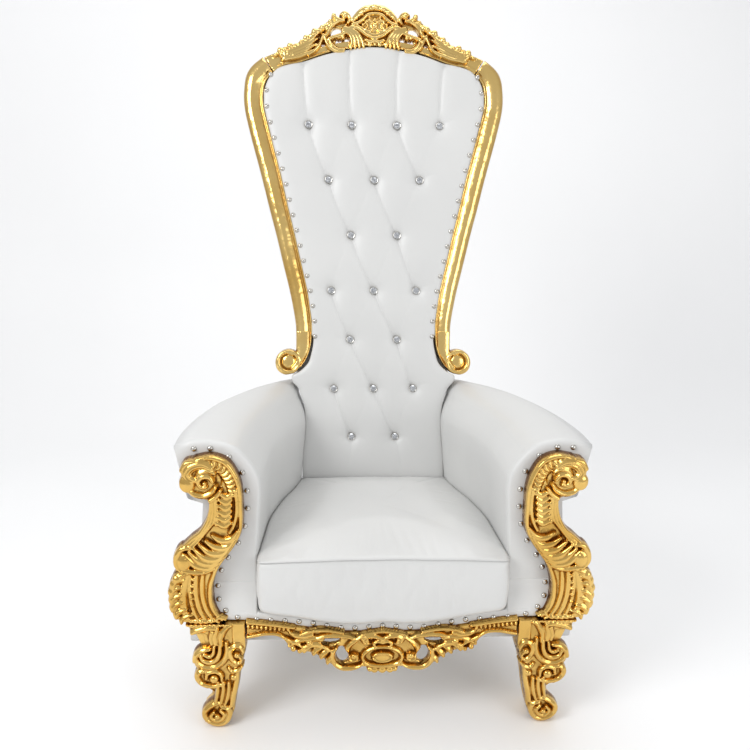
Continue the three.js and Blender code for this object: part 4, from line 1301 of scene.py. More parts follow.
    def facing_stem(self, r: Relief) -> None:
        """Draws the scalloped channel, the long flutes and the shell of crescents down to its knob.

        Args:
            r: the panel it is carved in.
        """
        r.stroke([(341, 632, 4.5), (339, 602, 5), (341, 572, 5), (348, 546, 5), (358, 528, 4.5)], -1, 7)
        r.stroke([(386, 620, 4.5), (386, 596, 5), (385, 570, 5), (388, 548, 4.5)], 0, 7)
        for k in range(6):
            x, z, w = 363 + k * 1.6, 617 - 14 * k, 12 + k * 0.7
            r.stroke([(x - w, z + 7, 5.5), (x - 2, z - 1, 9), (x + w, z + 7, 5.5)], -3 + 0.5 * k, 9)
        for dx, dz, w in ((0, 0, 4.6), (8, -1, 4.6), (-8, 1, 4.2)):
            r.stroke([(394 + dx * 0.6, 608 + dz, w * 0.8), (394 + dx * 0.8, 582, w), (401 + dx, 556 + dz, w),
                      (418 + dx * 0.9, 531 - dx * 0.2, w), (438 + dx * 0.8, 510 + dx * 0.4, w),
                      (460 + dx * 0.7, 488 + dx * 0.7, w * 0.9)], -1, 8)
        for k, line in enumerate((
            ((339, 533), (355, 513), (378, 509), (397, 522)), ((346, 514), (365, 493), (391, 492), (413, 509)),
            ((356, 497), (377, 477), (405, 478), (427, 499)), ((367, 480), (390, 462), (418, 465), (441, 489)),
            ((378, 464), (402, 450), (430, 456), (453, 481)), ((388, 449), (412, 439), (441, 446), (463, 474)),
        )):
            w = (4, 8.5, 9, 5)
            r.stroke([(x, z, w[i]) for i, (x, z) in enumerate(line)], 0.8 * math.sin(math.pi * k / 5), 9)
        r.bead(468, 455, 20, -2, 15, 1.25)
        r.stroke([(452, 492, 5), (470, 488, 8), (482, 470, 8), (484, 448, 7), (472, 431, 6)], 1, 10)
        r.leaf([(396, 437, 4), (420, 428, 7), (448, 428, 8), (472, 434, 7)], 1, 8)

    def facing_drop(self, r: Relief) -> None:
        """Draws the hollow mouldings over the leg and the leafy drop beside them.

        Args:
            r: the panel it is carved in.
        """
        for k, (top, w) in enumerate(((424, 6.5), (439, 7), (453, 5.5))):
            r.stroke([(top, 424, w * 0.8), (top + 4, 395, w), (top + 4, 360, w), (top - 3 + k, 328, w),
                      (top - 16 + k * 3, 303, w * 0.8)], -4, 7)
        r.stroke([(458, 420, 5), (468, 396, 9), (474, 364, 10), (474, 332, 10), (466, 306, 7)], -3, 9)
        for k, (x, z, w) in enumerate(((480, 414, 13), (492, 397, 13), (497, 378, 13), (497, 358, 13), (496, 338, 13),
                                       (489, 319, 12), (478, 304, 9))):
            r.stroke([(x - 22, z + 12, 5), (x - 10, z + 9, w * 0.72), (x + 1, z + 1, w * 0.82),
                      (x + 2, z - 9, w * 0.55)], 0, 10, flutes=1, rib_depth=2.5, lift=2)
        r.bead(484, 412, 13, 1, 13)
        r.beads([(447, 408, 5), (451, 391, 5), (453, 374, 4.5), (454, 357, 4.5), (452, 340, 4)], -1, 7)
        r.stroke([(404, 297, 6), (426, 296, 7), (450, 297, 7), (472, 301, 6)], -2, 8, ribs=12, rib_depth=3)
        r.stroke([(376, 302, 4.5), (388, 308, 5), (399, 300, 5), (391, 294, 4)], -1, 7)


def flat_cap(x: Array, z: Array, first: int, flip: bool) -> Array:
    """Fills a ring that need not be convex.

    Args:
        x, z: its corners.
        first: the number of its first corner.
        flip: whether the faces turn the other way.

    Returns:
        (n, 3) corner numbers.
    """
    left = list(range(len(x)))
    turn = np.sign(np.sum(x * np.roll(z, -1) - np.roll(x, -1) * z))
    out = []
    guard = 0
    while len(left) > 3 and guard < 40000:
        for k in range(len(left)):
            guard += 1
            a, b, c = left[k - 1], left[k], left[(k + 1) % len(left)]
            area = (x[b] - x[a]) * (z[c] - z[a]) - (x[c] - x[a]) * (z[b] - z[a])
            if area * turn <= 0:
                continue
            others = np.array([o for o in left if o not in (a, b, c)])
            s1 = (x[b] - x[a]) * (z[others] - z[a]) - (x[others] - x[a]) * (z[b] - z[a])
            s2 = (x[c] - x[b]) * (z[others] - z[b]) - (x[others] - x[b]) * (z[c] - z[b])
            s3 = (x[a] - x[c]) * (z[others] - z[c]) - (x[others] - x[c]) * (z[a] - z[c])
            if np.any((s1 * turn > 0) & (s2 * turn > 0) & (s3 * turn > 0)):
                continue
            out.append((a, b, c))
            left.pop(k)
            break
        else:
            break
    out.append(tuple(left[:3]))
    faces = np.array(out) + first
    return faces if flip else faces[:, ::-1]


# ---------- Seat and base ----------

REAR_LEG = (
    (0, 214, 250, 590, 626), (3, 210, 254, 585, 630), (20, 208, 256, 582, 632), (34, 214, 250, 577, 624),
    (42, 217, 247, 574, 618), (60, 213, 248, 568, 610), (95, 209, 250, 551, 600), (130, 206, 252, 532, 588),
    (165, 202, 256, 517, 578), (196, 198, 260, 504, 571), (206, 197, 261, 500, 568), (212, 200, 258, 503, 565),
    (218, 197, 261, 498, 567), (224.6, 197, 261, 497, 566),
)
APRON_EDGE = ((0, 259), (50, 254), (100, 255), (150, 261), (220, 274), (329, 288))
BAND_HEIGHT = 27.0
SEAT_TOP = 450.0


@dataclass
class Seat:
    """The seat cushion."""

    place: Placing
    finishes: Finishes
    side: Sequence[Point] = ((297, 31), (291, 130), (283, 240), (259, 350), (229, 440), (210, 515))
    crown: float = 30.0
    front: float = -12.0
    rear: float = 521.0
    top_rings: int = 25

    def cushion(self) -> None:
        """Sews the seat cushion: a crowned top, a seam round its edge and a full front."""
        half = smooth_line([(0, -12), (120, -12), (230, -11), (286, -8), (297, 2), *self.side, (200, 520),
                            (0, 521)], 160)
        plan = np.vstack([half, half[-2:0:-1] * (-1, 1)])
        edge = np.array(APRON_EDGE, float)
        low = np.interp(np.abs(plan[:, 0]), edge[:, 0], edge[:, 1]) + BAND_HEIGHT + 1
        at_front = np.clip(1 - (plan[:, 1] - self.front) / 160, 0, 1)
        top = SEAT_TOP + 1 + 9 * at_front * (1 - np.clip(np.abs(plan[:, 0]) / 297, 0, 1) ** 2)
        rings: list[tuple[Array, Array, Array]] = []

        def ring(shrink: float, z: Array) -> None:
            """Adds one ring, drawn in by a share."""
            middle = np.array((0.0, 250.0))
            way = plan - middle
            even = 265 * way / np.linalg.norm(way, axis=1)[:, None]
            blend = min(1.0, max(0.0, (shrink - 0.02) * 1.4)) ** 1.5
            x, y = (middle + (way * (1 - blend) + even * blend) * (1 - shrink)).T
            lean = np.where(plan[:, 1] > 380, math.tan(RECLINE) * np.minimum(0, z - SEAT_TOP), 0)
            rings.append((x, y + lean, z))

        for k in range(7):
            u = k / 6
            ring(0.08 * (1 - math.sin(u * math.pi / 2)), low + 26 * (1 - math.cos(u * math.pi / 2)))
        for k in range(1, 14):
            u = k / 14
            ring(-0.006 * math.sin(math.pi * u), (low + 26) * (1 - u) + (top - 7) * u)
        for shrink, drop in ((0.002, 4.6), (0.013, 3.2), (0.019, 1.8), (0.011, 0.6), (0.001, -0.6), (0.0, -2.0)):
            ring(shrink, top - drop)
        for k in range(1, self.top_rings + 1):
            u = k / self.top_rings
            ring(0.004 + 0.97 * u**1.15, (top + 3.5) * (1 - u) + (SEAT_TOP + 3.5) * u)
        x, y, z = (np.array([r[i] for r in rings]) for i in range(3))
        sides = np.array(self.side, float)
        wide = np.interp(y, sides[:, 1], sides[:, 0])
        full = np.ones(x.shape)
        for room, soft in ((wide - np.abs(x), 150), (y - self.front, 190), (self.rear - y, 120)):
            full = full * (1 - (1 - np.clip(room / soft, 0, 1)) ** 2.1)
        z = z + self.crown * np.where(np.arange(len(rings))[:, None] >= len(rings) - self.top_rings, full, 0)
        wave = np.sin(x / 41 + 1.3) * np.sin(y / 57 + 0.4) + 0.6 * np.sin(x / 23 + y / 31)
        z = z + 0.9 * wave * np.clip((z - SEAT_TOP) / 12, 0, 1)
        front = np.clip(1 - (y - self.front) / 30, 0, 1)
        front = front * np.clip((z - 300) / 40, 0, 1) * np.clip((440 - z) / 30, 0, 1)
        y = y - front * (3 + 1.2 * np.sin(x / 52) * np.sin(z / 33))
        piece = make_object("cushion_leather", drawn(self.place.upright, x, y, z), closed_skin(*x.shape))
        seam = range(len(rings) - self.top_rings - 6, len(rings) - self.top_rings + 1)
        held = [k * len(plan) + c for k in (*range(0, 8), *seam) for c in range(len(plan))]
        relax(piece, held, swell=0.006, cap=9 * MM)
        dress(piece, self.finishes.leather, Slot.LEATHER, "seat_cushion")


@dataclass
class Base:
    """The carved aprons, the rail, the boarded platform and the legs."""

    place: Placing
    finishes: Finishes
    apron_depth: float = 17.0
    leg_front_depth: float = 25.4
    leg_reach: float = 122.0
    leg_top: float = 224.6
    side_depth: float = 13.0
    rail_depth: float = 11.0
    rail_back: float = 545.0
    band_depth: float = 30.2

    def apron(self) -> None:
        """Carves the pierced front apron."""
        r = Relief((-330, 140), (330, 300), 1.0, mirrored=True)
        lower = [(-1, 149), (28, 149), (38, 155), (44, 165), (60, 165), (70, 158), (90, 155), (106, 157), (118, 164),
                 (132, 173), (146, 188), (162, 197), (178, 204), (196, 208), (222, 212), (232, 226), (238, 238),
                 (252, 250), (270, 253), (292, 251), (312, 246), (330, 242)]
        top = [(x, z + 5) for x, z in reversed(APRON_EDGE)]
        r.plate([*lower, *top, (-1, 264)], -4.5)
        self.apron_cartouche(r)
        self.apron_wing(r)
        for hole in ((125, 237, 23, 10, -4), (98, 197, 15, 23, -8)):
            r.pierce(*hole)
        r.softened()
        r.inside = np.minimum(r.inside, 328.4 - r.x)
        solid = r.solid(depth=self.apron_depth, ease=3.5, front=15)
        dress(solid.mesh("apron_carving", self.place.upright), self.finishes.antique, Slot.GILT, "front_apron")

    def apron_cartouche(self, r: Relief) -> None:
        """Draws the lobed cartouche in the middle of the apron.

        Args:
            r: the panel it is carved in.
        """
        r.stroke([(-20, 262, 4.5), (0, 263, 4.5), (24, 260, 4.5), (48, 256, 4), (60, 250, 4)], -2, 7)
        r.leaf([(0, 245, 5), (16, 250, 6.5), (32, 252, 7), (46, 245, 6.5), (44, 234, 5.5), (34, 234, 4)], 1, 9)
        r.bead(37, 240, 5, 4, 6)
        r.stroke([(0, 234, 4.5), (12, 238, 5), (22, 232, 5), (18, 225, 4)], 2, 7)
        r.bead(0, 243, 8, 1, 9)
        r.leaf([(0, 222, 5), (20, 219, 6), (38, 210, 6.5), (48, 196, 6), (44, 181, 6), (28, 172, 6),
                (0, 169, 5)], 0, 9)
        r.bead(0, 193, 27, -3, 11, 0.62)
        r.stroke([(0, 205, 4), (14, 203, 4.5), (24, 197, 3.5)], 4, 5)
        r.stroke([(0, 182, 3.5), (12, 184, 4), (22, 189, 3.5)], 4, 5)
        for x, z, w in ((0, 158, 11), (19, 158, 10), (31, 160, 8)):
            r.bead(x, z, w, -1, 10)
        r.stroke([(0, 168, 4), (18, 168, 4.5), (36, 172, 4.5), (48, 172, 4)], 1, 7)

    def apron_wing(self, r: Relief) -> None:
        """Draws the scrolls beside the cartouche and the beaded arch towards the leg.

        Args:
            r: the panel it is carved in.
        """
        r.leaf([(54, 250, 5), (66, 240, 7), (80, 228, 7.5), (88, 212, 7.5), (86, 196, 7), (74, 185, 6.5),
                (62, 189, 5.5), (62, 200, 4.5)], 1, 9)
        r.bead(70, 198, 9, 3, 10)
        r.leaf([(48, 176, 4), (58, 168, 6), (76, 163, 7.5), (98, 164, 8), (114, 175, 8), (122, 191, 7.5),
                (120, 208, 7), (112, 220, 5)], 1, 9)
        r.leaf([(70, 246, 5), (88, 251, 7), (112, 254, 7), (138, 253, 7), (158, 248, 6)], 0, 9)
        r.stroke([(96, 262, 4.5), (124, 267, 5), (152, 269, 5.5), (178, 266, 5), (196, 260, 4)], -1, 8)
        for x, z, turn, w in ((128, 180, 50, 8), (142, 196, 45, 9), (160, 206, 40, 9), (182, 213, 35, 8)):
            a = math.radians(turn)
            r.leaf([(x - 12 * math.cos(a), z + 10 * math.sin(a) + 8, 5), (x, z + 10, w), (x + 10 * math.cos(a),
                                                                                          z - 1, w * 0.6)], 0,
                   9, lift=2)
        r.stroke([(128, 214, 5), (146, 226, 8), (168, 230, 8.5), (188, 224, 7), (198, 214, 5)], 0, 9, flutes=2,
                 rib_depth=2)
        r.leaf([(140, 240, 5), (160, 246, 8), (184, 246, 9), (206, 240, 8), (222, 230, 6)], -1, 9)
        r.stroke([(170, 258, 5), (190, 254, 7), (210, 256, 7), (222, 264, 5)], 0, 8)
        r.bead(178, 236, 8, 2, 9)
        r.beads([(216, 220, 8), (201, 214, 7), (226, 229, 5)], 1, 9)
        r.stroke([(196, 226, 4), (206, 234, 6), (220, 240, 6), (232, 248, 5)], 0, 8)
        r.stroke([(226, 234, 4), (238, 250, 5), (256, 260, 5.5), (284, 261, 5.5), (310, 256, 5.5),
                  (332, 252, 5)], -2, 8)
        r.stroke([(214, 276, 5), (250, 282, 6), (290, 288, 6), (332, 292, 6)], -3, 7)
        for k in range(10):
            r.bead(228 + k * 10.6, 270.5 + k * 0.95, 4.6, -3, 7, 1.35)

    def front_legs(self) -> None:
        """Carves the front legs."""
        r = Relief((326, -2), (480, 292), 1.0)
        r.plate([(331, 290), (331, 218), (336, 205), (338, 185), (345, 160), (352, 120), (358, 80), (364, 45),
                 (374, 16), (390, 0), (416, 0), (430, 8), (442, 22), (446, 38), (440, 52), (424, 68), (411, 80),
                 (411, 102), (426, 106), (441, 116), (454, 132), (456, 148), (450, 162), (457, 172), (461, 188),
                 (456, 204), (445, 217), (430, 224), (417, 230), (416, 242), (419, 254), (432, 260), (456, 262),
                 (464, 272), (470, 290)], -3.5)
        r.plate([(331, 218), (362, 222), (362, 290), (331, 290)], -1)
        self.knee(r)
        self.shin(r)
        r.softened()
        r.inside = np.minimum(r.inside, np.minimum(r.x - 329.4, r.z))
        solid = r.solid(depth=self.leg_front_depth, ease=3.5, front=16)
        ys = np.arange(-16, self.leg_reach, solid.cell)
        value = np.full((len(solid.xs), len(ys), len(solid.zs)), OUTSIDE, np.float32)
        value[:, : len(solid.ys), :] = solid.value
        body = self.leg_body(solid.xs, ys, solid.zs)
        value = np.maximum(value, body)
        value = np.minimum(value, solid.zs[None, None, :])
        whole = Solid(solid.xs, ys, solid.zs, value.astype(np.float32), r)
        for side in Side:
            piece = whole.mesh(f"leg_carving_{side.label}", self.place.upright, side=side)
            dress(piece, self.finishes.antique, Slot.GILT, f"front_leg_{side.label}")

    def knee(self, r: Relief) -> None:
        """Draws the leafy collar and the swirled knee.

        Args:
            r: the panel it is carved in.
        """
        r.stroke([(366, 284, 6), (386, 288, 7), (406, 284, 7), (428, 288, 7), (450, 285, 7), (468, 288, 5)], -1,
                 8, ribs=11, rib_depth=3, lead=0.6)
        r.stroke([(398, 278, 6), (420, 279, 9), (442, 274, 10), (457, 267, 7)], 0, 10, flutes=2, rib_depth=2.4)
        r.leaf([(372, 282, 6), (384, 268, 8.5), (391, 250, 8), (389, 232, 6)], 0, 9)
        r.stroke([(398, 272, 5.5), (404, 254, 7), (402, 236, 6)], 1, 8)
        r.stroke([(410, 268, 5), (414, 250, 5.5), (412, 236, 5)], 0, 8)
        r.leaf([(377, 238, 5), (377, 212, 7), (385, 189, 8), (404, 173, 8.5), (428, 171, 8), (446, 183, 7.5),
                (453, 200, 6)], 0, 9)
        r.stroke([(392, 234, 5), (394, 212, 6.5), (402, 195, 7.5), (417, 187, 7.5), (433, 192, 6.5),
                  (440, 206, 5)], 2, 9)
        r.stroke([(406, 228, 4.5), (409, 211, 5.5), (419, 203, 6), (430, 208, 5)], 3, 8)
        r.leaf([(418, 222, 6), (434, 219, 8), (449, 207, 8), (455, 190, 7)], 1, 10)
        r.leaf([(336, 212, 4.5), (346, 228, 7), (361, 226, 8), (370, 209, 8), (363, 189, 7), (350, 181, 6),
                (342, 191, 5), (348, 201, 4)], 0, 9)
        r.bead(353, 205, 7.5, 3, 8)
        r.leaf([(341, 172, 4.5), (352, 160, 7), (366, 158, 6), (373, 168, 5)], -1, 8)

    def shin(self, r: Relief) -> None:
        """Draws the beaded boss, the fluted shin and the scrolled foot.

        Args:
            r: the panel it is carved in.
        """
        r.bead(363, 141, 9, -1, 9)
        r.stroke([(391, 134, 4.5), (393, 151, 6), (408, 160, 6.5), (425, 154, 6), (429, 140, 5)], 0, 9)
        r.bead(410, 139, 12, 1, 11)
        r.leaf([(430, 160, 6), (445, 157, 8), (451, 142, 8), (442, 126, 7.5), (427, 117, 6)], -1, 10)
        r.stroke([(386, 124, 5), (404, 119, 6.5), (420, 118, 6.5), (434, 124, 5)], 0, 8)
        r.stroke([(352, 152, 6), (358, 120, 8), (366, 86, 8), (372, 58, 6)], -4, 8)
        for x0, x1, w in ((375, 386, 6), (388, 397, 6.5), (401, 408, 5.5)):
            r.stroke([(x0, 128, w * 0.8), (x0 + 1, 106, w), (x0 + 5, 84, w), (x1 + 1, 64, w * 0.8)], -1, 9)
        r.leaf([(396, 70, 6), (413, 66, 8), (430, 53, 8), (438, 37, 8), (430, 20, 8), (410, 10, 9),
                (389, 14, 9), (377, 33, 8), (381, 52, 7), (394, 58, 6)], 0, 10)
        r.stroke([(398, 48, 5), (389, 36, 6), (397, 23, 6), (411, 20, 6), (422, 32, 6), (414, 45, 5)], 2, 8)
        r.bead(406, 33, 8, 5, 9)

    def leg_body(self, xs: Array, ys: Array, zs: Array) -> Array:
        """The rounded block behind the carving of the right leg.

        Args:
            xs, ys, zs: the cells.

        Returns:
            Values above 0 inside.
        """
        stations = np.array([
            (0, 393, 440, 6, 84), (10, 378, 450, -2, 92), (34, 368, 444, 0, 92), (56, 363, 424, 16, 88),
            (80, 359, 424, 22, 90), (100, 356, 450, 18, 96), (134, 350, 456, 8, 104), (168, 343, 458, 4, 110),
            (200, 333, 446, 6, 112), (224, 331, 440, 6, 112), (226, 331, 440, 6, 25), (290, 331, 464, 6, 25),
        ], float)
        x0, x1, y0, y1 = (np.interp(zs, stations[:, 0], stations[:, k]) for k in (1, 2, 3, 4))
        cx, cy = (x0 + x1) / 2, (y0 + y1) / 2
        hx, hy = (x1 - x0) / 2, (y1 - y0) / 2
        u = np.abs(xs[:, None, None] - cx) / hx
        v = np.abs(ys[None, :, None] - cy) / hy
        reed = 1.6 * np.abs(np.sin(np.arctan2(v, u) * 7)) * np.clip((180 - zs) / 60, 0, 1)
        d = (1 - (u**2.8 + v**2.8) ** (1 / 2.8)) * np.minimum(hx, hy) - reed
        top = (224.4 - zs)[None, None, :]
        under = (289 - zs)[None, None, :]
        return np.minimum(d, np.where(ys[None, :, None] > self.leg_front_depth, top, under))

    def side_aprons(self) -> None:
        """Carves the curved side aprons under the platform."""
        line = smooth_line([(451.8, 138.8), (429.8, 270.8), (390.8, 397.7), (337.9, 486.2), (282.8, 537.7)], 200)
        steps = np.hypot(*np.diff(line, axis=0).T)
        along = np.concatenate([[0], np.cumsum(steps)])
        first, last = along[-1] * 0.025, along[-1] * 0.895
        long = last - first
        r = Relief((-2, -68), (long + 2, 2), 1.0)
        lower = [(long * k / 20, -46 - 14 * math.cos(k / 20 * math.pi * 2) ** 2) for k in range(21)]
        r.plate([(0, 0), *lower, (long, 0)], -5)
        r.stroke([(0, -5, 4), (long / 2, -6, 4), (long, -5, 4)], -2, 6)
        r.stroke([(x, z + 6, 4.5) for x, z in lower], -2, 6)
        for k in range(3):
            at = long * (k + 0.5) / 3
            r.leaf([(at - 46, -22, 3), (at - 24, -34, 6), (at + 4, -36, 7), (at + 22, -26, 6),
                    (at + 12, -16, 4.5), (at, -21, 3)], -1, 7)
            r.stroke([(at + 20, -40, 3), (at + 38, -30, 5), (at + 52, -22, 3)], -2, 6, ribs=7, rib_depth=2.5)
            r.bead(at + 8, -25, 4.5, 2, 5)
        solid = r.solid(depth=self.side_depth, ease=2.5, front=9)
        turn = np.gradient(line, axis=0)
        turn /= np.hypot(*turn.T)[:, None]

        def placed(side: Side) -> Map:
            """How a point drawn along the apron stands in the frame on one side.

            Args:
                side: the side.

            Returns:
                The map from drawn points to the frame.
            """
            hand = side.value

            def spot(s: Array, y: Array, z: Array) -> Array:
                """The frame's point for one drawn along the apron."""
                at = s / MM * hand + first
                px, py = (np.interp(at, along, line[:, k]) for k in (0, 1))
                tx, ty = (np.interp(at, along, turn[:, k]) for k in (0, 1))
                out = -(y / MM) + 0.5
                return self.place.upright(hand * (px + ty * out) * MM, (py - tx * out) * MM, z + self.leg_top * MM)

            return spot

        for side in Side:
            piece = solid.mesh(f"side_apron_carving_{side.label}", placed(side), side=side)
            dress(piece, self.finishes.antique, Slot.GILT, f"side_apron_{side.label}")

    def rear_legs(self) -> None:
        """Turns the splayed rear legs, with a scrolled knee and a pad foot."""
        line = smooth_line(REAR_LEG, 90)
        angle = np.linspace(0, 2 * math.pi, 72, endpoint=False)
        c, s = (np.sign(v) * np.abs(v) ** 0.78 for v in (np.cos(angle), np.sin(angle)))
        z = np.clip(line[:, 0], 0, self.leg_top)[:, None] + 0 * c[None, :]
        reed = np.clip((z - 40) / 30, 0, 1) * np.clip((200 - z) / 20, 0, 1)
        thin = 1 - 0.05 * reed * (0.5 + 0.5 * np.cos(angle * 12))[None, :]
        x = (line[:, 1:2] + line[:, 2:3]) / 2 + c[None, :] * thin * (line[:, 2:3] - line[:, 1:2]) / 2
        y = (line[:, 3:4] + line[:, 4:5]) / 2 + s[None, :] * thin * (line[:, 4:5] - line[:, 3:4]) / 2
        # painted shade in the grooves between the reeds, through the gilding's hollow mask
        low = (reed * (0.5 + 0.5 * np.cos(angle * 12))[None, :]).ravel()
        for side in Side:
            faces = turned(closed_skin(*x.shape), side is Side.LEFT)
            piece = make_object(f"rear_leg_turned_{side.label}", drawn(self.place.upright, x, y, z, side), faces, low)
            dress(piece, self.finishes.antique, Slot.GILT, f"rear_leg_{side.label}")

    def rear_rail(self) -> None:
        """Moulds the rail between the rear legs."""
        r = Relief((-189, 176), (189, 224), 1.0)
        r.plate([(-188, 177), (188, 177), (188, 223.6), (-188, 223.6)], 9)
        r.stroke([(-188, 184, 5), (0, 184, 5), (188, 184, 5)], 7, 12)
        r.stroke([(-188, 216, 5), (0, 216, 5), (188, 216, 5)], 7, 12)
        solid = r.solid(depth=self.rail_depth, ease=2, front=15)

        def spot(x: Array, y: Array, z: Array) -> Array:
            """The frame's point for one drawn from behind."""
            return self.place.upright(-x, self.rail_back * MM - y, z)

        dress(solid.mesh("rear_rail_moulded", spot), self.finishes.antique, Slot.GILT, "rear_rail")

    def platform(self) -> None:
        """Covers the platform: a nailed front band over a boarded seat with rounded edges."""
        ends = [(329, 291), (371, 294), (371, 322)]
        lower = [(x, z + 0.6) for x, z in APRON_EDGE]
        corners = (*APRON_EDGE[:-1], (299, 284.1), (303, 284.6), APRON_EDGE[-1])
        upper = [(x, z + BAND_HEIGHT + (9 if x > 300 else 0)) for x, z in corners]
        r = Relief((-376, 236), (376, 330), 1.0, mirrored=True)
        r.plate([(-1, lower[0][1]), *lower, *ends, *reversed(upper), (-1, upper[0][1])], -13.6)
        r.height = r.height + 1.3 * np.clip(r.inside / 9, 0, 1) ** 0.6
        wave = np.sin(r.x / 15.0) * 0.25 + np.sin(r.x / 37.0 + r.z / 9) * 0.25
        r.height = r.height + wave
        reach = np.abs(r.x)
        edge = np.array(APRON_EDGE, float)
        climb = np.clip((r.z - np.interp(reach, edge[:, 0], edge[:, 1]) - BAND_HEIGHT + 8) / 17, 0, 1)
        r.height = r.height - 15.5 * climb**1.4 * np.clip((reach - 296) / 6, 0, 1)
        band = r.solid(depth=self.band_depth, ease=3, front=2).mesh("front_band", self.place.upright)
        side = [(463.8, 138.8), (441.8, 270.8), (402.8, 397.7), (349.9, 486.2), (294.8, 537.7)]
        dense = smooth_line([(466.5, 27), *side, (246, 571)], 70)
        plan = np.vstack([dense, dense[::-1] * (-1, 1)])
        centre = np.array([0, 300.0])
        rings, levels = [], []
        for z, shrink in ((225, 0.012), (227, 0.004), (231, 0.0), (250, 0.0), (264, 0.0), (268, 0.004),
                          (269.6, 0.012)):
            rings.append(plan + (centre - plan) * shrink)
            levels.append(np.full(len(plan), float(z)))
        spots = drawn(self.place.upright, *np.vstack(rings).T, np.concatenate(levels))
        board = make_object("seat_board", spots, closed_skin(len(rings), len(plan)))
        for piece in (band, board):
            dress(piece, self.finishes.leather, Slot.LEATHER, "seat_frame")


# ---------- Nails ----------


NAIL_GAP = 44
FACING_NAILS = (
    (349, 299), (377, 316), (393, 342), (395, 375), (385, 416), (368, 449), (343, 487), (326, 530), (318, 575),
    (318, 619), (327, 664), (357, 703), (398, 723), (435, 722),
)
BAND_NAILS = (
    (0, 272), (33, 269), (67, 266), (101, 268), (135, 274), (168, 280.5), (202, 285.5), (236, 288.5), (270, 290.5),
    (304, 293),
)


@dataclass
class Nails:
    """Silver dome nails set in rows."""

    place: Placing
    finishes: Finishes
    radius: float = 7.0
    height: float = 5.0
    around: int = 14

    def spaced(self, line: Sequence[Point], gap: float) -> Array:
        """Spots along a line, an equal gap apart."""
        dense = smooth_line(line, 400)[:, :2]
        along = np.concatenate([[0], np.cumsum(np.hypot(*np.diff(dense, axis=0).T))])
        count = max(2, int(round(along[-1] / gap)) + 1)
        at = np.linspace(0, along[-1], count)
        return np.stack([np.interp(at, along, dense[:, k]) for k in (0, 1)], -1)

    def row(self, name: str, spots: Array, behind: Callable[[Array, Array], Array], place: Map) -> None:
        """Sets one row as a single piece.

        Args:
            name: the piece's name.
            spots: (n, 2) places as drawn, in millimetres.
            behind: how far behind the drawing plane the leather lies there.
            place: maps drawn points into the frame.
        """
        rings = [(self.radius, -1.2), (self.radius, 0.2), (self.radius * 0.9, 2.0), (self.radius * 0.66, 3.6),
                 (self.radius * 0.34, 4.6)]
        m = self.around
        angle = np.linspace(0, 2 * math.pi, m, endpoint=False)
        points, quads, tris = [], [], []
        for (x, z), y in zip(spots, behind(spots[:, 0], spots[:, 1])):
            first = len(points)
            for radius, out in rings:
                points += [(x + radius * math.cos(a), y - out, z + radius * math.sin(a)) for a in angle]
            points.append((x, y - self.height, z))
            quads.append(ring_quads(len(rings), m) + first)
            tip = first + len(rings) * m
            tris += [(tip - m + j, tip - m + (j + 1) % m, tip) for j in range(m)]
            tris += [(first, first + j + 1, first + j) for j in range(1, m - 1)]
        piece = make_object(name, drawn(place, *np.array(points).T), [np.vstack(quads), np.array(tris)])
        dress(piece, self.finishes.nickel, None)


# ---------- Room ----------


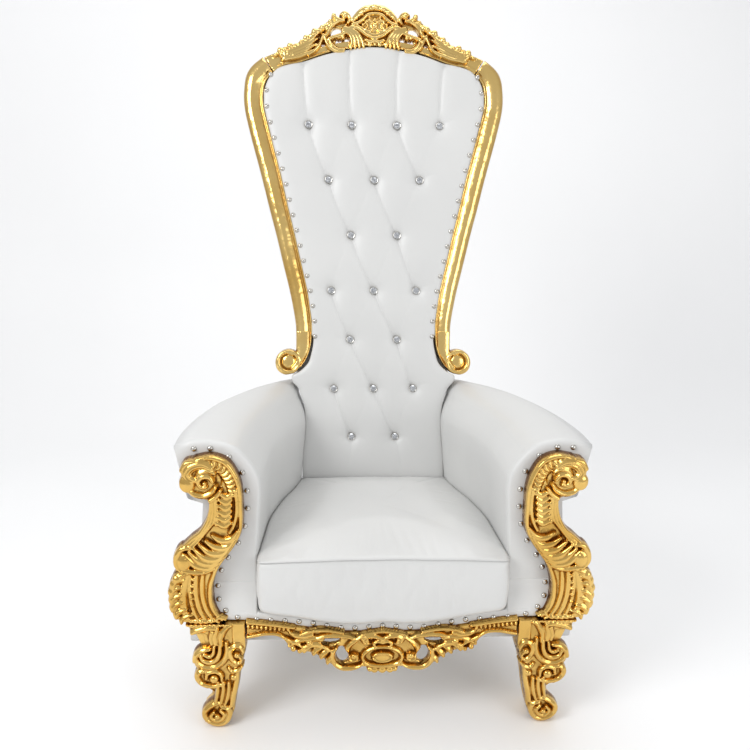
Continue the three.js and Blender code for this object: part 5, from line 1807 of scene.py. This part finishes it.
@dataclass
class Studio:
    """A pale floor and wall, soft lights and the camera."""

    place: Placing
    wall: float = 1.6
    bend: float = 0.9
    half_width: float = 5.0
    surround: float = 0.62
    yaw: float = 0.0443
    pitch: float = 0.3014
    roll: float = 0.0111
    lens: float = 39.86
    shift: Point = (0.012, 0.0484)
    eye: Point = (-0.1245, -1.7545, 1.3659)

    def floor(self) -> None:
        """Lays the floor that curves up to a wall."""
        arc = [(self.wall + self.bend * math.sin(t), self.bend * (1 - math.cos(t)))
               for t in np.linspace(0.1, math.pi / 2, 14)]
        rear = self.wall + self.bend
        line = [(-2.6, 0.0), (-1.0, 0.0), (self.wall, 0.0), *arc, (rear, 2.0), (rear, 4.5)]
        points = np.array([(x, y, z) for y, z in line for x in (-self.half_width, -1.5, 1.5, self.half_width)])
        quads = np.array([(k * 4 + j, k * 4 + j + 1, k * 4 + j + 5, k * 4 + j + 4)
                          for k in range(len(line) - 1) for j in range(3)])
        sweep = make_object("floor", points, [quads])
        g = Graph("backdrop")
        cloud = g.noise(1.7, 3, 0.5)
        speck = g.noise(60, 2, 0.5)
        colour = g.mix(cloud, (0.95, 0.95, 0.95), (0.98, 0.98, 0.98))
        sweep.data.materials.append(g.shade(Base_Color=colour, Roughness=speck * 0.2 + 0.45))

    def lights(self) -> None:
        """Hangs large soft lights and sets a bright even surround."""
        for name, spot, aim, size, watts in (
            ("key", (-2.2, -2.1, 2.7), (0, 0, 0.9), 1.5, 58),
            ("fill", (2.4, -2.7, 1.5), (0, 0, 0.8), 1.7, 24),
            ("top", (0.3, 0.6, 3.5), (0, 0, 0.8), 2.0, 26),
        ):
            data = bpy.data.lights.new(name, "AREA")
            data.shape = "SQUARE"
            data.size = size
            data.energy = watts
            lamp = bpy.data.objects.new(name, data)
            lamp.location = spot
            lamp.rotation_euler = (Vector(aim) - Vector(spot)).to_track_quat("-Z", "Y").to_euler()
            bpy.context.scene.collection.objects.link(lamp)
        world = bpy.data.worlds.new("room")
        world.use_nodes = True
        ground = world.node_tree.nodes["Background"]
        ground.inputs["Color"].default_value = (0.97, 0.98, 1.0, 1)
        ground.inputs["Strength"].default_value = self.surround
        bpy.context.scene.world = world
        bpy.context.scene.view_settings.view_transform = "Standard"

    def camera(self) -> None:
        """Stands the camera in front of the chair, a little to its left and above."""
        yaw, pitch, roll = self.yaw, self.pitch, self.roll
        ahead = Vector((math.sin(yaw) * math.cos(pitch), math.cos(yaw) * math.cos(pitch), -math.sin(pitch)))
        right = Vector((math.cos(yaw), -math.sin(yaw), 0))
        up = right.cross(ahead)
        across = math.cos(roll) * right + math.sin(roll) * up
        over = -math.sin(roll) * right + math.cos(roll) * up
        data = bpy.data.cameras.new("camera")
        data.sensor_width = 36
        data.lens = self.lens
        data.shift_x, data.shift_y = self.shift
        cam = bpy.data.objects.new("camera", data)
        turn = Matrix((across, over, -ahead)).transposed()
        x, y, z = self.eye
        cam.matrix_world = Matrix.Translation((x, y + self.place.front, z)) @ turn.to_4x4()
        bpy.context.scene.collection.objects.link(cam)
        bpy.context.scene.camera = cam


def main() -> None:
    """Builds the throne piece by piece and sets it in the studio."""
    logging.basicConfig(level=logging.INFO, format="%(message)s")
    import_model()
    place = Placing(front=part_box("arm_right")[0].y - ARM_FRONT)
    finishes = Finishes()
    back = Back(place, finishes)
    back.crest_rail()
    back.stiles()
    back.cover()
    back.pad()
    back.button_set()
    arm = Arm(place, finishes)
    arm.upholstery()
    arm.fall()
    arm.facing()
    Seat(place, finishes).cushion()
    base = Base(place, finishes)
    base.platform()
    base.apron()
    base.front_legs()
    base.side_aprons()
    base.rear_legs()
    base.rear_rail()
    nails = Nails(place, finishes)
    for side in Side:
        inner = [(side.value * (x - half - 9), z) for x, z, half in back.stile[2:-3]]
        spots = nails.spaced(inner, NAIL_GAP)
        nails.row(f"back_nails_{side.label}", spots, lambda x, z: back.pad_front(x, z, np.abs(x) + 9) + 0.4,
                  place.leaned)
        spots = np.array([(side.value * x, z) for x, z in FACING_NAILS], float)
        nails.row(f"arm_nails_{side.label}", spots, lambda x, z: arm.front_at(z) - 0.4, place.upright)
    spots = np.array([(s * x, z) for x, z in BAND_NAILS for s in ((1, -1) if x else (1,))], float)
    nails.row("band_nails", spots, lambda x, z: np.full(len(x), 12.6), place.upright)
    studio = Studio(place)
    studio.floor()
    studio.lights()
    studio.camera()


if __name__ == "__main__":
    main()
